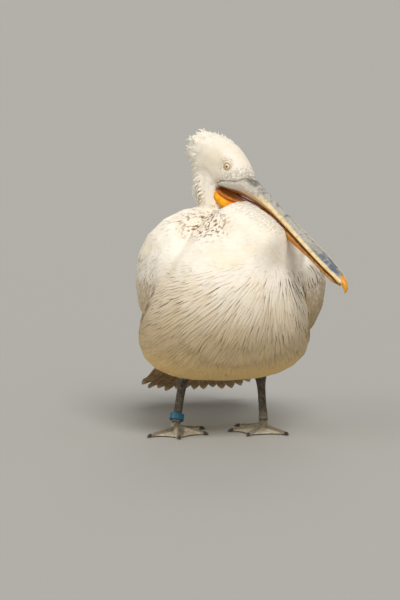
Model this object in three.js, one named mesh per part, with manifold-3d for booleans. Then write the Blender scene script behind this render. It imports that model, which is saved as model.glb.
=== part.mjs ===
// A life-size Dalmatian pelican at rest: it stands square on two webbed feet with its neck folded
// back between the shoulders and its bill laid down across the left side of the breast.
//
// Frame: millimetres, +Z up. The bird faces -Y and its left side is +X. The origin is on the floor,
// under the middle of the whole bird. Every body is lofted through rows of sections, and the rows
// give the outline to the tips of the feathers. Bodies that touch are parted by a gap of GAP.
import * as THREE from "three";
import { mergeVertices } from "three/addons/utils/BufferGeometryUtils.js";
import Module from "manifold-3d";

const wasm = await Module();
wasm.setup();

// ---- driving dimensions -------------------------------------------------------------------------
const GAP = 0.8; // between bodies that touch
const FINENESS = 0.25; // a cut body may be this far from its true surface
const DEGREE = Math.PI / 180;

const HEAD_AT = [5, -30, 579]; // midway between the eyes
const HEAD_YAW = 31; // turned to the bird's left
const HEAD_PITCH = 32.5; // bill down

const TARSUS_TOP = 112; // height of the heel joint
const ANKLE_HEIGHT = 20; // where the tarsus meets the foot
const TARSUS_LEAN = 34; // the heel joint stands this far behind the foot
const TOES = [
  // length with no claw, half width at the root
  { name: "hind", length: 56, half: 6.5 },
  { name: "inner", length: 84, half: 7.5 },
  { name: "middle", length: 110, half: 8.5 },
  { name: "outer", length: 104, half: 7.5 },
];
const LEGS = [
  // toe headings are degrees from straight ahead, towards the bird's left
  { side: "left", foot: [80, 46], heel: 80, headings: [-118, -66, -28, 17] },
  { side: "right", foot: [-112, 46], heel: -90, headings: [98, 38, -6, -42] },
];

const COLOURS = {
  plumage: 0xf1ece0,
  primaries: 0x3a3531,
  tailPlumes: 0xd9ccb4,
  billHorn: 0x9c9890,
  nailHorn: 0xe0a030,
  billRami: 0xd9a348,
  pouchSkin: 0xe8921c,
  iris: 0xe9dfb2,
  legSkin: 0x6f6a60,
  claw: 0x4a4238,
  ring: 0x1f6f86,
};

// ---- lofted bodies ------------------------------------------------------------------------------
const COLUMNS = { y: 0, x: 1, z: 2, half: 3, up: 4, down: 5, power: 6, powerBelow: 7, tilt: 8, arch: 9 };
const RADII = [COLUMNS.half, COLUMNS.up, COLUMNS.down];

// One section, at y: its top and bottom, its half width, and what else shapes it. waist is the height
// of its widest part. power is the superellipse's: 2 is an ellipse, and more is boxier. tilt turns
// the section in degrees, and arch drops its two edges by that much.
function row(y, top, bottom, half, options = {}) {
  const { x = 0, waist = (top + bottom) / 2, power = 2.2, powerBelow = power, tilt = 0, arch = 0 } = options;
  return [y, x, waist, half, top - waist, waist - bottom, power, powerBelow, tilt, arch];
}

// A Catmull-Rom curve through the rows. Past a pole, where a body closes to a point, the rows mirror
// with their radii reversed, so that the end is round.
function sectionAt(rows, u) {
  const beyond = (end, next) =>
    end[COLUMNS.half] > 0
      ? end.map((value, i) => 2 * value - next[i])
      : next.map((value, i) => (RADII.includes(i) ? -value : value));
  const last = rows.length - 1;
  const i = Math.min(last - 1, Math.floor(u * last));
  const t = u * last - i;
  const b = rows[i];
  const c = rows[i + 1];
  const a = i > 0 ? rows[i - 1] : beyond(b, c);
  const d = i + 2 <= last ? rows[i + 2] : beyond(c, b);
  const curve = (p, q, r, s) =>
    q + (t * (r - p + t * (2 * p - 5 * q + 4 * r - s + t * (3 * (q - r) + s - p)))) / 2;
  return b.map((_, k) => curve(a[k], b[k], c[k], d[k]));
}

// The point of a section at an angle from its top, towards +X, with the body grown by grow.
function sectionPoint(section, angle, grow) {
  const [, x, z, half, up, down, power, powerBelow, tilt, arch] = section;
  const [sine, cosine] = [Math.sin(angle), Math.cos(angle)];
  const [n, tall] = cosine < 0 ? [powerBelow, down] : [power, up];
  const across = (half + grow) * Math.sign(sine) * Math.abs(sine) ** (2 / n);
  const drop = half > 0 ? arch * (across / half) ** 2 : 0;
  const rise = (tall + grow) * Math.sign(cosine) * Math.abs(cosine) ** (2 / n) - drop;
  const turn = tilt * DEGREE;
  return [
    x + across * Math.cos(turn) + rise * Math.sin(turn),
    z - across * Math.sin(turn) + rise * Math.cos(turn),
  ];
}

// How many steps along, and how many sides round, each body's mesh has.
const STEPS = {
  trunk: [16, 22],
  hump: [7, 14],
  core: [8, 12],
  neck: [6, 14],
  head: [10, 14],
  crest: [7, 12],
  bill: [16, 10],
  lowerBill: [12, 6],
  ramiSpace: [6, 4],
  pouch: [10, 10],
  wing: [13, 20],
  wingtip: [10, 10],
  tail: [9, 14],
  thigh: [4, 10],
  shank: [11, 8],
  toe: [5, 6],
  hub: [5, 8],
  claw: [2, 6],
};

// A closed body through rows, lofted along +Y. Rows that run along -Y are taken from the other end.
function loft(given, [rings, sides], grow = 0) {
  const rows = given[0][COLUMNS.y] < given[1][COLUMNS.y] ? given : [...given].reverse();
  const points = [];
  const starts = [];
  for (let i = 0; i <= rings; i++) {
    const section = sectionAt(rows, i / rings);
    const y = section[COLUMNS.y] + grow * ((2 * i) / rings - 1);
    const isPole = (i === 0 || i === rings) && rows[i === 0 ? 0 : rows.length - 1][COLUMNS.half] === 0;
    starts.push({ first: points.length, count: isPole ? 1 : sides });
    if (isPole) points.push([section[COLUMNS.x], y, section[COLUMNS.z]]);
    else
      for (let k = 0; k < sides; k++) {
        const [x, z] = sectionPoint(section, (2 * Math.PI * k) / sides, grow);
        points.push([x, y, z]);
      }
  }
  const faces = [];
  for (let i = 0; i < rings; i++) {
    const [near, far] = [starts[i], starts[i + 1]];
    for (let k = 0; k < sides; k++) {
      const next = (k + 1) % sides;
      const [a, b] = [near.first + (near.count > 1 ? k : 0), near.first + (near.count > 1 ? next : 0)];
      const [c, d] = [far.first + (far.count > 1 ? k : 0), far.first + (far.count > 1 ? next : 0)];
      if (a !== b) faces.push([a, b, c]);
      if (c !== d) faces.push([b, d, c]);
    }
  }
  [starts[0], starts[rings]].forEach(({ first, count }, end) => {
    for (let k = 1; k + 1 < count; k++) {
      faces.push(end === 0 ? [first, first + k + 1, first + k] : [first, first + k, first + k + 1]);
    }
  });
  const geometry = new THREE.BufferGeometry();
  geometry.setAttribute("position", new THREE.Float32BufferAttribute(points.flat(), 3));
  geometry.setIndex(faces.flat());
  return geometry;
}

// ---- joining and cutting ------------------------------------------------------------------------
function solid(geometry) {
  const bare = new THREE.BufferGeometry();
  bare.setAttribute("position", geometry.getAttribute("position"));
  bare.setIndex(geometry.getIndex());
  const merged = mergeVertices(bare, 1e-4);
  return new wasm.Manifold(
    new wasm.Mesh({
      numProp: 3,
      vertProperties: merged.getAttribute("position").array,
      triVerts: new Uint32Array(merged.getIndex().array),
    }),
  );
}

function geometryOf(body) {
  const { numProp, vertProperties, triVerts } = body.getMesh();
  const places = [];
  for (let i = 0; i < vertProperties.length; i += numProp) places.push(...vertProperties.slice(i, i + 3));
  const geometry = new THREE.BufferGeometry();
  geometry.setAttribute("position", new THREE.Float32BufferAttribute(places, 3));
  geometry.setIndex(Array.from(triVerts));
  geometry.computeVertexNormals();
  return geometry;
}

const joined = (first, ...others) => others.reduce((all, body) => all.add(body), first);
const cut = (first, ...others) => others.reduce((rest, body) => rest.subtract(body), first);

// The largest piece of a body that a cut has left in several.
function largest(body) {
  return body.decompose().reduce((best, piece) => (piece.volume() > best.volume() ? piece : best));
}

// ---- places -------------------------------------------------------------------------------------
function placement(at, yaw = 0, pitch = 0, roll = 0) {
  const turn = new THREE.Euler(pitch * DEGREE, roll * DEGREE, yaw * DEGREE, "ZXY");
  return new THREE.Matrix4()
    .makeRotationFromEuler(turn)
    .setPosition(...at);
}
const HEAD_PLACE = placement(HEAD_AT, HEAD_YAW, HEAD_PITCH);
const inHead = (x, y, z) => new THREE.Vector3(x, y, z).applyMatrix4(HEAD_PLACE).toArray();

// A plane given in the head's frame, as a unit normal and how far along it the plane lies.
function planeInHead({ normal, through }) {
  const outward = new THREE.Vector3(...normal).normalize().transformDirection(HEAD_PLACE);
  return [outward.toArray(), outward.dot(new THREE.Vector3(...inHead(...through)))];
}
const facingBack = ([normal, offset]) => [normal.map((value) => -value), -offset];

const mirrored = (sign) =>
  new THREE.Matrix4().makeScale(sign, 1, 1).setPosition(WING_SHIFT, 0, sign > 0 ? -WING_DROP : 0);

// The geometry moved by a matrix, with its faces turned back out if the matrix mirrors it.
function moved(geometry, matrix) {
  const copy = geometry.clone().applyMatrix4(matrix);
  if (matrix.determinant() < 0) {
    const index = copy.getIndex();
    for (let i = 0; i < index.count; i += 3) {
      const first = index.getX(i);
      index.setX(i, index.getX(i + 1));
      index.setX(i + 1, first);
    }
  }
  return copy;
}

// ---- trunk and neck -----------------------------------------------------------------------------
const TRUNK_ROWS = [
  row(-214, 296, 296, 0, { x: -12 }),
  row(-204, 364, 238, 66, { x: -13, power: 2 }),
  row(-166, 430, 174, 124, { x: -15, waist: 280, power: 2, powerBelow: 2.2 }),
  row(-100, 468, 136, 166, { x: -17, waist: 248, power: 1.8, powerBelow: 2.5 }),
  row(-30, 480, 119, 183, { x: -18, waist: 222, power: 1.7, powerBelow: 2.6 }),
  row(44, 478, 117, 178, { x: -15, waist: 220, power: 1.8, powerBelow: 2.7 }),
  row(120, 446, 121, 160, { x: -8, waist: 222, power: 1.9, powerBelow: 2.6 }),
  row(196, 386, 130, 134, { x: -2, waist: 220, power: 2, powerBelow: 2.4 }),
  row(264, 318, 142, 100, { power: 2.1, powerBelow: 2.2 }),
  row(318, 254, 152, 68, { power: 2.1, powerBelow: 2 }),
  row(350, 216, 160, 36, { power: 2 }),
  row(360, 186, 186, 0),
];
// The folded neck fills the top of the breast, under the chin.
const HUMP_ROWS = [
  row(-190, 376, 376, 0, { x: 20 }),
  row(-166, 438, 300, 72, { x: 20 }),
  row(-115, 480, 280, 112, { x: 22 }),
  row(-60, 496, 280, 124, { x: 22 }),
  row(-6, 490, 280, 116, { x: 18 }),
  row(44, 462, 290, 84, { x: 12 }),
  row(66, 400, 400, 0, { x: 8 }),
];
const breastLoft = (grow = 0) =>
  joined(solid(loft(TRUNK_ROWS, STEPS.trunk, grow)), solid(loft(HUMP_ROWS, STEPS.hump, grow)));

// The neck is folded: it drops from the back of the skull between the shoulders. Its sections are
// level, and each is given by its height, its front, its back and its half width.
const neckRow = (z, front, back, half, x) => row(-z, back, front, half, { x });
const NECK_ROWS = [
  neckRow(630, 46, 46, 0, -20),
  neckRow(618, 22, 72, 24, -21),
  neckRow(592, 0, 90, 38, -22),
  neckRow(556, -10, 90, 42, -21),
  neckRow(516, -12, 84, 44, -19),
  neckRow(470, -18, 78, 50, -14),
  neckRow(430, -24, 74, 58, -10),
];
const NECK_PLACE = new THREE.Matrix4().makeRotationX(-Math.PI / 2);
const neckLoft = (grow = 0) => solid(moved(loft(NECK_ROWS, STEPS.neck, grow), NECK_PLACE));

// ---- head, in its own frame: the bill runs along -Y and the eyes are level with the origin ------------
const HEAD_ROWS = [
  row(-59, -14, -14, 0),
  row(-52, 6, -32, 20),
  row(-30, 18, -44, 27, { powerBelow: 2.6 }),
  row(0, 28, -55, 31, { powerBelow: 2.8 }),
  row(34, 31, -64, 34, { powerBelow: 2.8 }),
  row(66, 21, -70, 36),
  row(92, 8, -68, 31),
  row(108, -12, -54, 19),
  row(114, -32, -32, 0),
];
const headLoft = (grow = 0) => solid(moved(loft(HEAD_ROWS, STEPS.head, grow), HEAD_PLACE));

// The upper bill: a flat blade with a low ridge, widest near its tip, and at its root a bare plate
// that runs back under the eye to the corner of the mouth.
const BILL_ROWS = [
  row(12, -52, -52, 0),
  row(4, -42, -57, 26),
  row(-12, -22, -53, 29.5),
  row(-32, -8, -47, 27.5),
  row(-54, 6, -39, 24),
  row(-82, 6, -30, 20.5),
  row(-114, 6, -21, 18),
  row(-160, 5, -13, 16.5),
  row(-232, 3, -10, 18.5),
  row(-298, 2, -9, 20.5),
  row(-346, 1, -9.5, 19.5),
  row(-378, 0, -11, 15.5),
  row(-400, -3, -15, 11),
  row(-413, -9, -22, 7),
  row(-418, -22, -22, 0),
];
const NAIL_FROM = -396;
const billLoft = (grow = 0) => solid(moved(loft(BILL_ROWS, STEPS.bill, grow), HEAD_PLACE));

// How far the mouth stands open, near its corner.
const MOUTH = { from: 12, to: -112, open: 7 };
function mouthOpening(y) {
  const along = (y - MOUTH.from) / (MOUTH.to - MOUTH.from);
  return along > 0 && along < 1 ? MOUTH.open * Math.sin(Math.PI * along) : 0;
}

// The lower bill follows the upper one's edge: two rami that meet near the tip, with the pouch
// between them.
const RAMUS_DEPTH = 8.5;
const RAMUS_WIDTH = 5;
const RAMUS_INSET = 1.2; // how far the rami's flanks lie inside the upper bill's
const RAMUS_END = 3; // how far the rami's ends lie inside the upper bill's rows
const LOWER_SHARE = 12; // the last row of the upper bill that the lower bill follows
const LOWER_ROWS = BILL_ROWS.slice(0, LOWER_SHARE + 1).map(([y, , z, half, , down], i) => {
  const top = z - down - 2 * GAP - mouthOpening(y);
  if (i === 0) return row(y - RAMUS_END, top - RAMUS_DEPTH, top - RAMUS_DEPTH, 0);
  if (i === LOWER_SHARE) return row(y + RAMUS_END, top - RAMUS_END, top - RAMUS_END, 0);
  return row(y, top, top - RAMUS_DEPTH, half - RAMUS_INSET, { power: 3 });
});
const lowerLoft = (grow = 0) => solid(moved(loft(LOWER_ROWS, STEPS.lowerBill, grow), HEAD_PLACE));

const POUCH_ROWS = [
  row(24, -76, -76, 0),
  row(14, -62, -90, 20),
  row(-12, -60, -94, 27),
  row(-40, -56, -88, 25),
  row(-70, -45, -74, 20),
  row(-106, -28, -54, 15),
  row(-160, -15, -38, 11),
  row(-232, -12, -30, 12.5),
  row(-298, -11, -23, 14),
  row(-334, -16, -16, 0),
];
const pouchLoft = (grow = 0) => solid(moved(loft(POUCH_ROWS, STEPS.pouch, grow), HEAD_PLACE));

const EYE_RADIUS = 9.5;
const EYE_SIDES = 12;
const EYE_RINGS = 7;
const EYE_AT = [21.5, 0, 0];

// The shaggy nape: a tuft behind the crown and a mane down the hind neck, with locks that stand out.
const CREST_ROWS = [
  row(34, 0, 0, 0),
  row(44, 26, -24, 22),
  row(66, 23, -46, 34),
  row(90, 16, -64, 38),
  row(114, 6, -62, 35),
  row(129, -4, -50, 22),
  row(136, -26, -26, 0),
];
const MANE_DEPTH = 10;
const MANE_FROM = { normal: [0, 0.98, 0.2], through: [0, 62, 0] };
const LOCK_SIDES = 4;
const LOCK_HALF = 12;
const LOCK_ROOT = 30;
const LOCKS = {
  from: -48,
  to: 72,
  count: 5,
  across: [-46, 0, 46],
  stagger: 10,
  middle: [0, 86, -26],
  reach: [55, 46], // of the uppermost and the lowest locks
  uneven: 3.5,
};

// The turn that lays +Y along a direction.
const turnedTo = (along) =>
  new THREE.Quaternion().setFromUnitVectors(new THREE.Vector3(0, 1, 0), along.clone().normalize());

function lock(root, tip) {
  const cone = new THREE.ConeGeometry(LOCK_HALF, 1, LOCK_SIDES, 1);
  const [a, b] = [new THREE.Vector3(...root), new THREE.Vector3(...tip)];
  const along = b.clone().sub(a);
  const middle = a.add(b).multiplyScalar(0.5);
  const size = new THREE.Vector3(1, along.length(), 1);
  const place = new THREE.Matrix4().compose(middle, turnedTo(along), size);
  return solid(mergeBare(cone.applyMatrix4(place)));
}

function locks() {
  const { from, to, count, across, stagger, middle, reach, uneven } = LOCKS;
  return Array.from({ length: count }, (_, i) => {
    const share = i / (count - 1);
    const down = THREE.MathUtils.lerp(from, to, share) * DEGREE;
    return across.map((sideways, k) => {
      const turn = (sideways + (i % 2 ? stagger : -stagger)) * DEGREE;
      const outward = [Math.sin(turn), Math.cos(down) * Math.cos(turn), -Math.sin(down) * Math.cos(turn)];
      const length = THREE.MathUtils.lerp(...reach, share) + uneven * Math.cos(2.1 * i + 1.7 * k);
      const at = (distance) => inHead(...outward.map((v, axis) => v * distance + middle[axis]));
      return lock(at(LOCK_ROOT), at(length));
    });
  }).flat();
}

function crestBody() {
  const tuft = solid(moved(loft(CREST_ROWS, STEPS.crest), HEAD_PLACE));
  const mane = neckLoft(MANE_DEPTH).trimByPlane(...planeInHead(MANE_FROM));
  return joined(tuft, mane, ...locks());
}

// ---- wings, drawn on the bird's left ------------------------------------------------------------------
// The shoulders that the folded wings give the body.
const WING_ROWS = [
  row(-92, 360, 360, 0, { x: 132 }),
  row(-80, 416, 300, 42, { x: 120 }),
  row(-40, 466, 224, 102, { x: 88, power: 2.2 }),
  row(22, 488, 176, 152, { x: 54, power: 2.3, powerBelow: 2.1 }),
  row(90, 480, 164, 168, { x: 36, power: 2.2 }),
  row(158, 440, 160, 150, { x: 34, power: 2.1, powerBelow: 2.2 }),
  row(222, 380, 166, 118, { x: 34, power: 2, powerBelow: 2.2 }),
  row(284, 318, 174, 84, { x: 32, power: 2, powerBelow: 2.1 }),
  row(336, 264, 184, 52, { x: 30 }),
  row(366, 232, 200, 22, { x: 28 }),
  row(374, 214, 214, 0, { x: 28 }),
];
const WING_SHIFT = 8; // the wings lie this far to the bird's left
const WING_DROP = 16; // the left shoulder hangs this much lower than the right one
const WING_DEPTH = 12; // how far a wing is let into the body
const LEFT_SLOPE = { up: 0.9, power: -0.3 }; // the left shoulder's sections against the right one's

function wingLoft(sign, grow = 0) {
  const sloped = WING_ROWS.map((section) => {
    const copy = [...section];
    copy[COLUMNS.up] *= LEFT_SLOPE.up;
    copy[COLUMNS.power] += LEFT_SLOPE.power;
    return copy;
  });
  return solid(moved(loft(sign > 0 ? sloped : WING_ROWS, STEPS.wing, grow), mirrored(sign)));
}

// The wing's outline from the side, as places (y, z) on a closed curve.
const WING_OUTLINE = [
  [-70, 330],
  [-62, 410],
  [-10, 500],
  [90, 510],
  [200, 440],
  [300, 330],
  [372, 240],
  [366, 196],
  [280, 196],
  [180, 190],
  [90, 200],
  [10, 222],
  [-46, 268],
];
const OUTLINE_STEPS = 26;
const OUTLINE_MIDDLE = [120, 320, 0]; // inside the outline: it grows away from here
const REACH = 400; // past the side of the bird
const MANTLE = { normal: [0.94, 0.34, 0], offset: 66 }; // the back shows between the wings up to this plane

// All that lies outside the outline's inner side, for one wing.
function wingRegion(sign, grow = 0) {
  const curve = new THREE.CatmullRomCurve3(
    WING_OUTLINE.map(([y, z]) => new THREE.Vector3(y, z, 0)),
    true,
  );
  const points = curve.getSpacedPoints(OUTLINE_STEPS).slice(0, -1);
  const middle = new THREE.Vector3(...OUTLINE_MIDDLE);
  const outline = points.map((p) => {
    const away = p.clone().sub(middle);
    return new THREE.Vector2(...p.add(away.setLength(grow)).toArray());
  });
  const slab = new THREE.ExtrudeGeometry(new THREE.Shape(outline), { depth: REACH, bevelEnabled: false });
  const [x, y, z] = [[1, 0, 0], [0, 1, 0], [0, 0, 1]].map((axis) => new THREE.Vector3(...axis));
  slab.applyMatrix4(new THREE.Matrix4().makeBasis(y, z, x).setPosition(GAP / 2 - grow, 0, 0));
  const { normal, offset } = MANTLE;
  const half = solid(moved(mergeBare(slab), mirrored(sign)));
  return half.trimByPlane([sign * normal[0], normal[1], normal[2]], offset - grow);
}

// The folded primaries run out from under each wing and cross the root of the tail.
const WINGTIP_ROWS = [
  row(250, 288, 288, 0, { x: 66 }),
  row(264, 302, 222, 12, { x: 66, tilt: -14 }),
  row(312, 288, 196, 14, { x: 64, tilt: -20 }),
  row(358, 258, 172, 13, { x: 57, tilt: -26 }),
  row(402, 222, 152, 10, { x: 46, tilt: -30 }),
  row(436, 186, 140, 5, { x: 35, tilt: -32 }),
  row(446, 158, 158, 0, { x: 30 }),
];
const wingtipLoft = (sign, grow = 0) => solid(moved(loft(WINGTIP_ROWS, STEPS.wingtip, grow), mirrored(sign)));

// ---- tail ---------------------------------------------------------------------------------------------
const TAIL_AT = [0, 296, 196];
const TAIL_SLOPE = -46;
const TAIL_ROWS = [
  row(-26, 0, 0, 0),
  row(-12, 15, -17, 36, { power: 2.6, arch: 8 }),
  row(36, 12, -14, 58, { power: 2.8, arch: 10 }),
  row(90, 7, -8, 82, { power: 3, arch: 11 }),
  row(142, 4, -4, 104, { power: 3, arch: 12 }),
  row(186, 2.6, -2.6, 116, { power: 3, arch: 12 }),
  row(212, 1.8, -1.8, 94, { power: 3, arch: 7 }),
  row(222, 0, 0, 0),
];
const TAIL_PLACE = placement(TAIL_AT, 0, TAIL_SLOPE);
const tailLoft = (grow = 0) => solid(moved(loft(TAIL_ROWS, STEPS.tail, grow), TAIL_PLACE));

// ---- legs and feet ------------------------------------------------------------------------------------
// A body lofted along the line from one point down to another, and grown by grow all round.
function limb(from, to, rows, steps, grow = 0) {
  const along = new THREE.Vector3(...to).sub(new THREE.Vector3(...from));
  const place = new THREE.Matrix4().makeRotationFromQuaternion(turnedTo(along)).setPosition(...from);
  const scaled = rows.map(([y, ...shape]) => [y * along.length(), ...shape]);
  return solid(moved(loft(scaled, steps, grow), place));
}

const heelOf = ({ heel, foot }) => [heel, foot[1] + TARSUS_LEAN, TARSUS_TOP];
const ankleOf = ({ foot }) => [foot[0], foot[1], ANKLE_HEIGHT];

// The feathered thigh, set up into the belly; its end shows as a cuff round the heel joint.
const THIGH_ROWS = [
  row(0, 38, -38, 34),
  row(0.5, 34, -34, 30),
  row(0.8, 27, -26, 24),
  row(1, 15, -14.5, 13.5),
];
const THIGH_RISE = 74;
const THIGH_LEAN = 22;
const THIGH_END = 2;
function thighBody(leg, grow = 0) {
  const [x, y, z] = heelOf(leg);
  return limb([x, y - THIGH_LEAN, z + THIGH_RISE], [x, y, z + THIGH_END], THIGH_ROWS, STEPS.thigh, grow);
}

const SHANK_ROWS = [
  row(-0.075, 0, 0, 0),
  row(-0.05, 10, -10, 9),
  row(0.02, 15, -14, 13),
  row(0.13, 12.5, -11.5, 10.5),
  row(0.3, 10.5, -10.5, 8.6),
  row(0.6, 10, -10, 8.2),
  row(0.86, 10.5, -10.5, 9.2),
  row(1, 11.5, -11.5, 10.5),
];
const shankBody = (leg, grow = 0) => limb(heelOf(leg), ankleOf(leg), SHANK_ROWS, STEPS.shank, grow);

const TOE_ROWS = (length, half) => [
  row(-8, 5, 5, 0),
  row(-4, 14, -3, half * 0.9),
  row(length * 0.28, 11.5, -3, half * 0.9),
  row(length * 0.62, 9.5, -2.6, half * 0.78),
  row(length * 0.93, 8.5, -2.2, half * 0.72),
  row(length, 4.5, 4.5, 0),
];
const HUB_ROWS = [
  row(-17, 8, 8, 0),
  row(-12, 15, -3, 10),
  row(0, 20, -4, 12.5),
  row(12, 15, -3, 11),
  row(17, 8, 8, 0),
];
// The web's thickness, how far it reaches along the toes and back from the ankle, and its scallops.
const WEB = { under: 2, over: 4.6, reach: 0.95, heel: 6, scallop: 0.8, bend: 0.86 };

const toePlace = ({ foot }, heading) => placement([foot[0], foot[1], 0], 180 + heading);
const headingPoint = ({ foot }, heading, reach) => [
  foot[0] + reach * Math.sin(heading * DEGREE),
  foot[1] - reach * Math.cos(heading * DEGREE),
];

// The web: one thin sheet between the four toes, with a scalloped edge.
function webBody(leg) {
  const outline = new THREE.Shape();
  outline.moveTo(...headingPoint(leg, leg.headings[2] + 180, WEB.heel));
  leg.headings.forEach((heading, i) => {
    const reach = TOES[i].length * WEB.reach;
    if (i === 0) outline.lineTo(...headingPoint(leg, heading, reach));
    else {
      const between = (heading + leg.headings[i - 1]) / 2;
      const shorter = (WEB.scallop * (reach + TOES[i - 1].length * WEB.reach)) / 2;
      const bend = headingPoint(leg, between, shorter * WEB.bend);
      outline.quadraticCurveTo(...bend, ...headingPoint(leg, heading, reach));
    }
  });
  outline.closePath();
  const sheet = new THREE.ExtrudeGeometry(outline, {
    depth: WEB.over - WEB.under,
    bevelEnabled: false,
    curveSegments: 4,
  });
  sheet.translate(0, 0, WEB.under);
  return solid(mergeBare(sheet));
}

// A geometry from three.js with only its places left, so that its shared vertices merge.
function mergeBare(geometry) {
  const bare = new THREE.BufferGeometry();
  bare.setAttribute("position", geometry.getAttribute("position"));
  if (geometry.getIndex()) bare.setIndex(geometry.getIndex());
  return mergeVertices(bare, 1e-4);
}

function toesBody(leg, grow = 0) {
  const toes = TOES.map(({ length, half }, i) =>
    solid(moved(loft(TOE_ROWS(length, half), STEPS.toe, grow), toePlace(leg, leg.headings[i]))),
  );
  const hub = solid(moved(loft(HUB_ROWS, STEPS.hub, grow), toePlace(leg, leg.headings[2])));
  return joined(hub, ...toes);
}
const footBody = (leg) => joined(toesBody(leg), webBody(leg)).trimByPlane([0, 0, 1], 0);

const CLAW_ROWS = [
  row(0, 9, 1.2, 4),
  row(5, 8.6, 1.4, 3.6),
  row(10, 6.8, 1.2, 2.4),
  row(14.5, 2, 2, 0),
];
const CLAW_ROOT = 3; // how far the claw starts inside the end of its toe
function clawBody(leg, toe) {
  const out = new THREE.Matrix4().makeTranslation(0, TOES[toe].length - CLAW_ROOT, 0);
  return solid(moved(loft(CLAW_ROWS, STEPS.claw), toePlace(leg, leg.headings[toe]).multiply(out)));
}

// ---- the leg ring: a plain band that sits loose round the right tarsus, just above the foot ------------
const RING = { inner: 13, outer: 15.8, height: 15, along: 0.89 };

function ringGeometry() {
  const { inner, outer, height } = RING;
  const round = 1;
  const profile = [
    [inner, -height / 2],
    [outer - round, -height / 2],
    [outer, -height / 2 + round],
    [outer, height / 2 - round],
    [outer - round, height / 2],
    [inner, height / 2],
    [inner, -height / 2],
  ].map(([r, h]) => new THREE.Vector2(r, h));
  return new THREE.LatheGeometry(profile, 14).rotateX(Math.PI / 2);
}

// ---- the bird -----------------------------------------------------------------------------------------
const material = (colour, roughness = 0.8) => new THREE.MeshStandardMaterial({ color: colour, roughness });
const MATERIALS = {
  plumage: material(COLOURS.plumage, 0.9),
  primaries: material(COLOURS.primaries, 0.7),
  tailPlumes: material(COLOURS.tailPlumes, 0.85),
  billHorn: material(COLOURS.billHorn, 0.55),
  nailHorn: material(COLOURS.nailHorn, 0.45),
  billRami: material(COLOURS.billRami, 0.5),
  pouchSkin: material(COLOURS.pouchSkin, 0.5),
  iris: material(COLOURS.iris, 0.1),
  legSkin: material(COLOURS.legSkin, 0.7),
  claw: material(COLOURS.claw, 0.45),
  ring: material(COLOURS.ring, 0.4),
};

const pelican = new THREE.Group();

function add(name, geometry, slot, parent = pelican) {
  const mesh = new THREE.Mesh(geometry, MATERIALS[slot]);
  mesh.name = name;
  parent.add(mesh);
  return mesh;
}
const addSolid = (name, body, slot) => add(name, geometryOf(largest(body.simplify(FINENESS))), slot);

// The whole body's outline, wings and all, and the core inside the wings.
const coreLoft = (grow) => solid(loft(TRUNK_ROWS, STEPS.core, grow));
const bodyLoft = (grow = 0) => joined(breastLoft(grow), wingLoft(1, grow), wingLoft(-1, grow));
const wingPocket = (sign, grow = 0) => cut(wingRegion(sign, grow), coreLoft(-WING_DEPTH - grow));

// The lower neck is the front of the breast above a slanting cut.
const BREAST_CUT = { normal: [0, -0.62, 0.78], offset: 0.62 * 60 + 0.78 * 392 };

function addBody() {
  const thighs = LEGS.map((leg) => thighBody(leg, GAP));
  const body = cut(bodyLoft(), wingPocket(1, GAP), wingPocket(-1, GAP), ...thighs);
  const { normal, offset } = BREAST_CUT;
  const [back, behind] = facingBack([normal, offset]);
  addSolid("neck_lower", body.trimByPlane(normal, offset + GAP / 2), "plumage");
  addSolid("trunk", body.trimByPlane(back, behind + GAP / 2), "plumage");
}

// The cut between head and neck, in the head's frame.
const NAPE_CUT = { normal: [0, -0.45, 0.9], through: [0, 78, -52] };

function addHeadAndNeck() {
  const [normal, offset] = planeInHead(NAPE_CUT);
  const [back, behind] = facingBack([normal, offset]);
  const mouth = joined(billLoft(2 * GAP), lowerLoft(3 * GAP), pouchLoft(2 * GAP));
  const eyes = [-1, 1].map((sign) => {
    const ball = new THREE.SphereGeometry(EYE_RADIUS + GAP, EYE_SIDES, EYE_RINGS);
    return solid(mergeBare(ball.translate(sign * EYE_AT[0], EYE_AT[1], EYE_AT[2]).applyMatrix4(HEAD_PLACE)));
  });
  const whole = joined(headLoft(), neckLoft());
  const breast = bodyLoft(GAP);
  const mane = crestBody();
  const grown = joined(headLoft(3 * GAP), neckLoft(3 * GAP));
  addSolid("head", cut(whole.trimByPlane(normal, offset + GAP / 2), breast, mouth, ...eyes), "plumage");
  addSolid("neck_upper", cut(whole.trimByPlane(back, behind + GAP / 2), breast, mouth), "plumage");
  addSolid("crest", cut(mane, grown, breast), "plumage");
}

function addBill() {
  const plane = planeInHead({ normal: [0, -1, 0], through: [0, NAIL_FROM, 0] });
  const [normal, offset] = plane;
  const [back, behind] = facingBack(plane);
  const bill = billLoft();
  addSolid("bill_upper", bill.trimByPlane(back, behind + GAP / 2), "billHorn");
  addSolid("bill_nail", bill.trimByPlane(normal, offset + GAP / 2), "nailHorn");
  const rami = solid(moved(loft(innerRows(LOWER_ROWS), STEPS.ramiSpace), HEAD_PLACE));
  addSolid("bill_lower", cut(lowerLoft(), billLoft(GAP), rami, pouchLoft(GAP)), "billRami");
  addSolid("pouch", cut(pouchLoft(), billLoft(GAP), bodyLoft(GAP)), "pouchSkin");
}

// The space between the rami: the lower bill's own rows, narrower and taller.
function innerRows(rows) {
  const clear = RAMUS_DEPTH / 2 + RAMUS_END;
  const inner = rows.slice(1, -3);
  return inner.map(([y, , z, half]) => row(y, z + clear, z - clear, half - RAMUS_WIDTH, { power: 3 }));
}

function addEyes() {
  const skull = new THREE.Group();
  skull.applyMatrix4(HEAD_PLACE);
  pelican.add(skull);
  for (const [side, sign] of [["left", 1], ["right", -1]]) {
    const eye = add(`eye_${side}`, new THREE.SphereGeometry(EYE_RADIUS, EYE_SIDES, EYE_RINGS), "iris", skull);
    eye.position.set(sign * EYE_AT[0], EYE_AT[1], EYE_AT[2]);
  }
}

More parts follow.
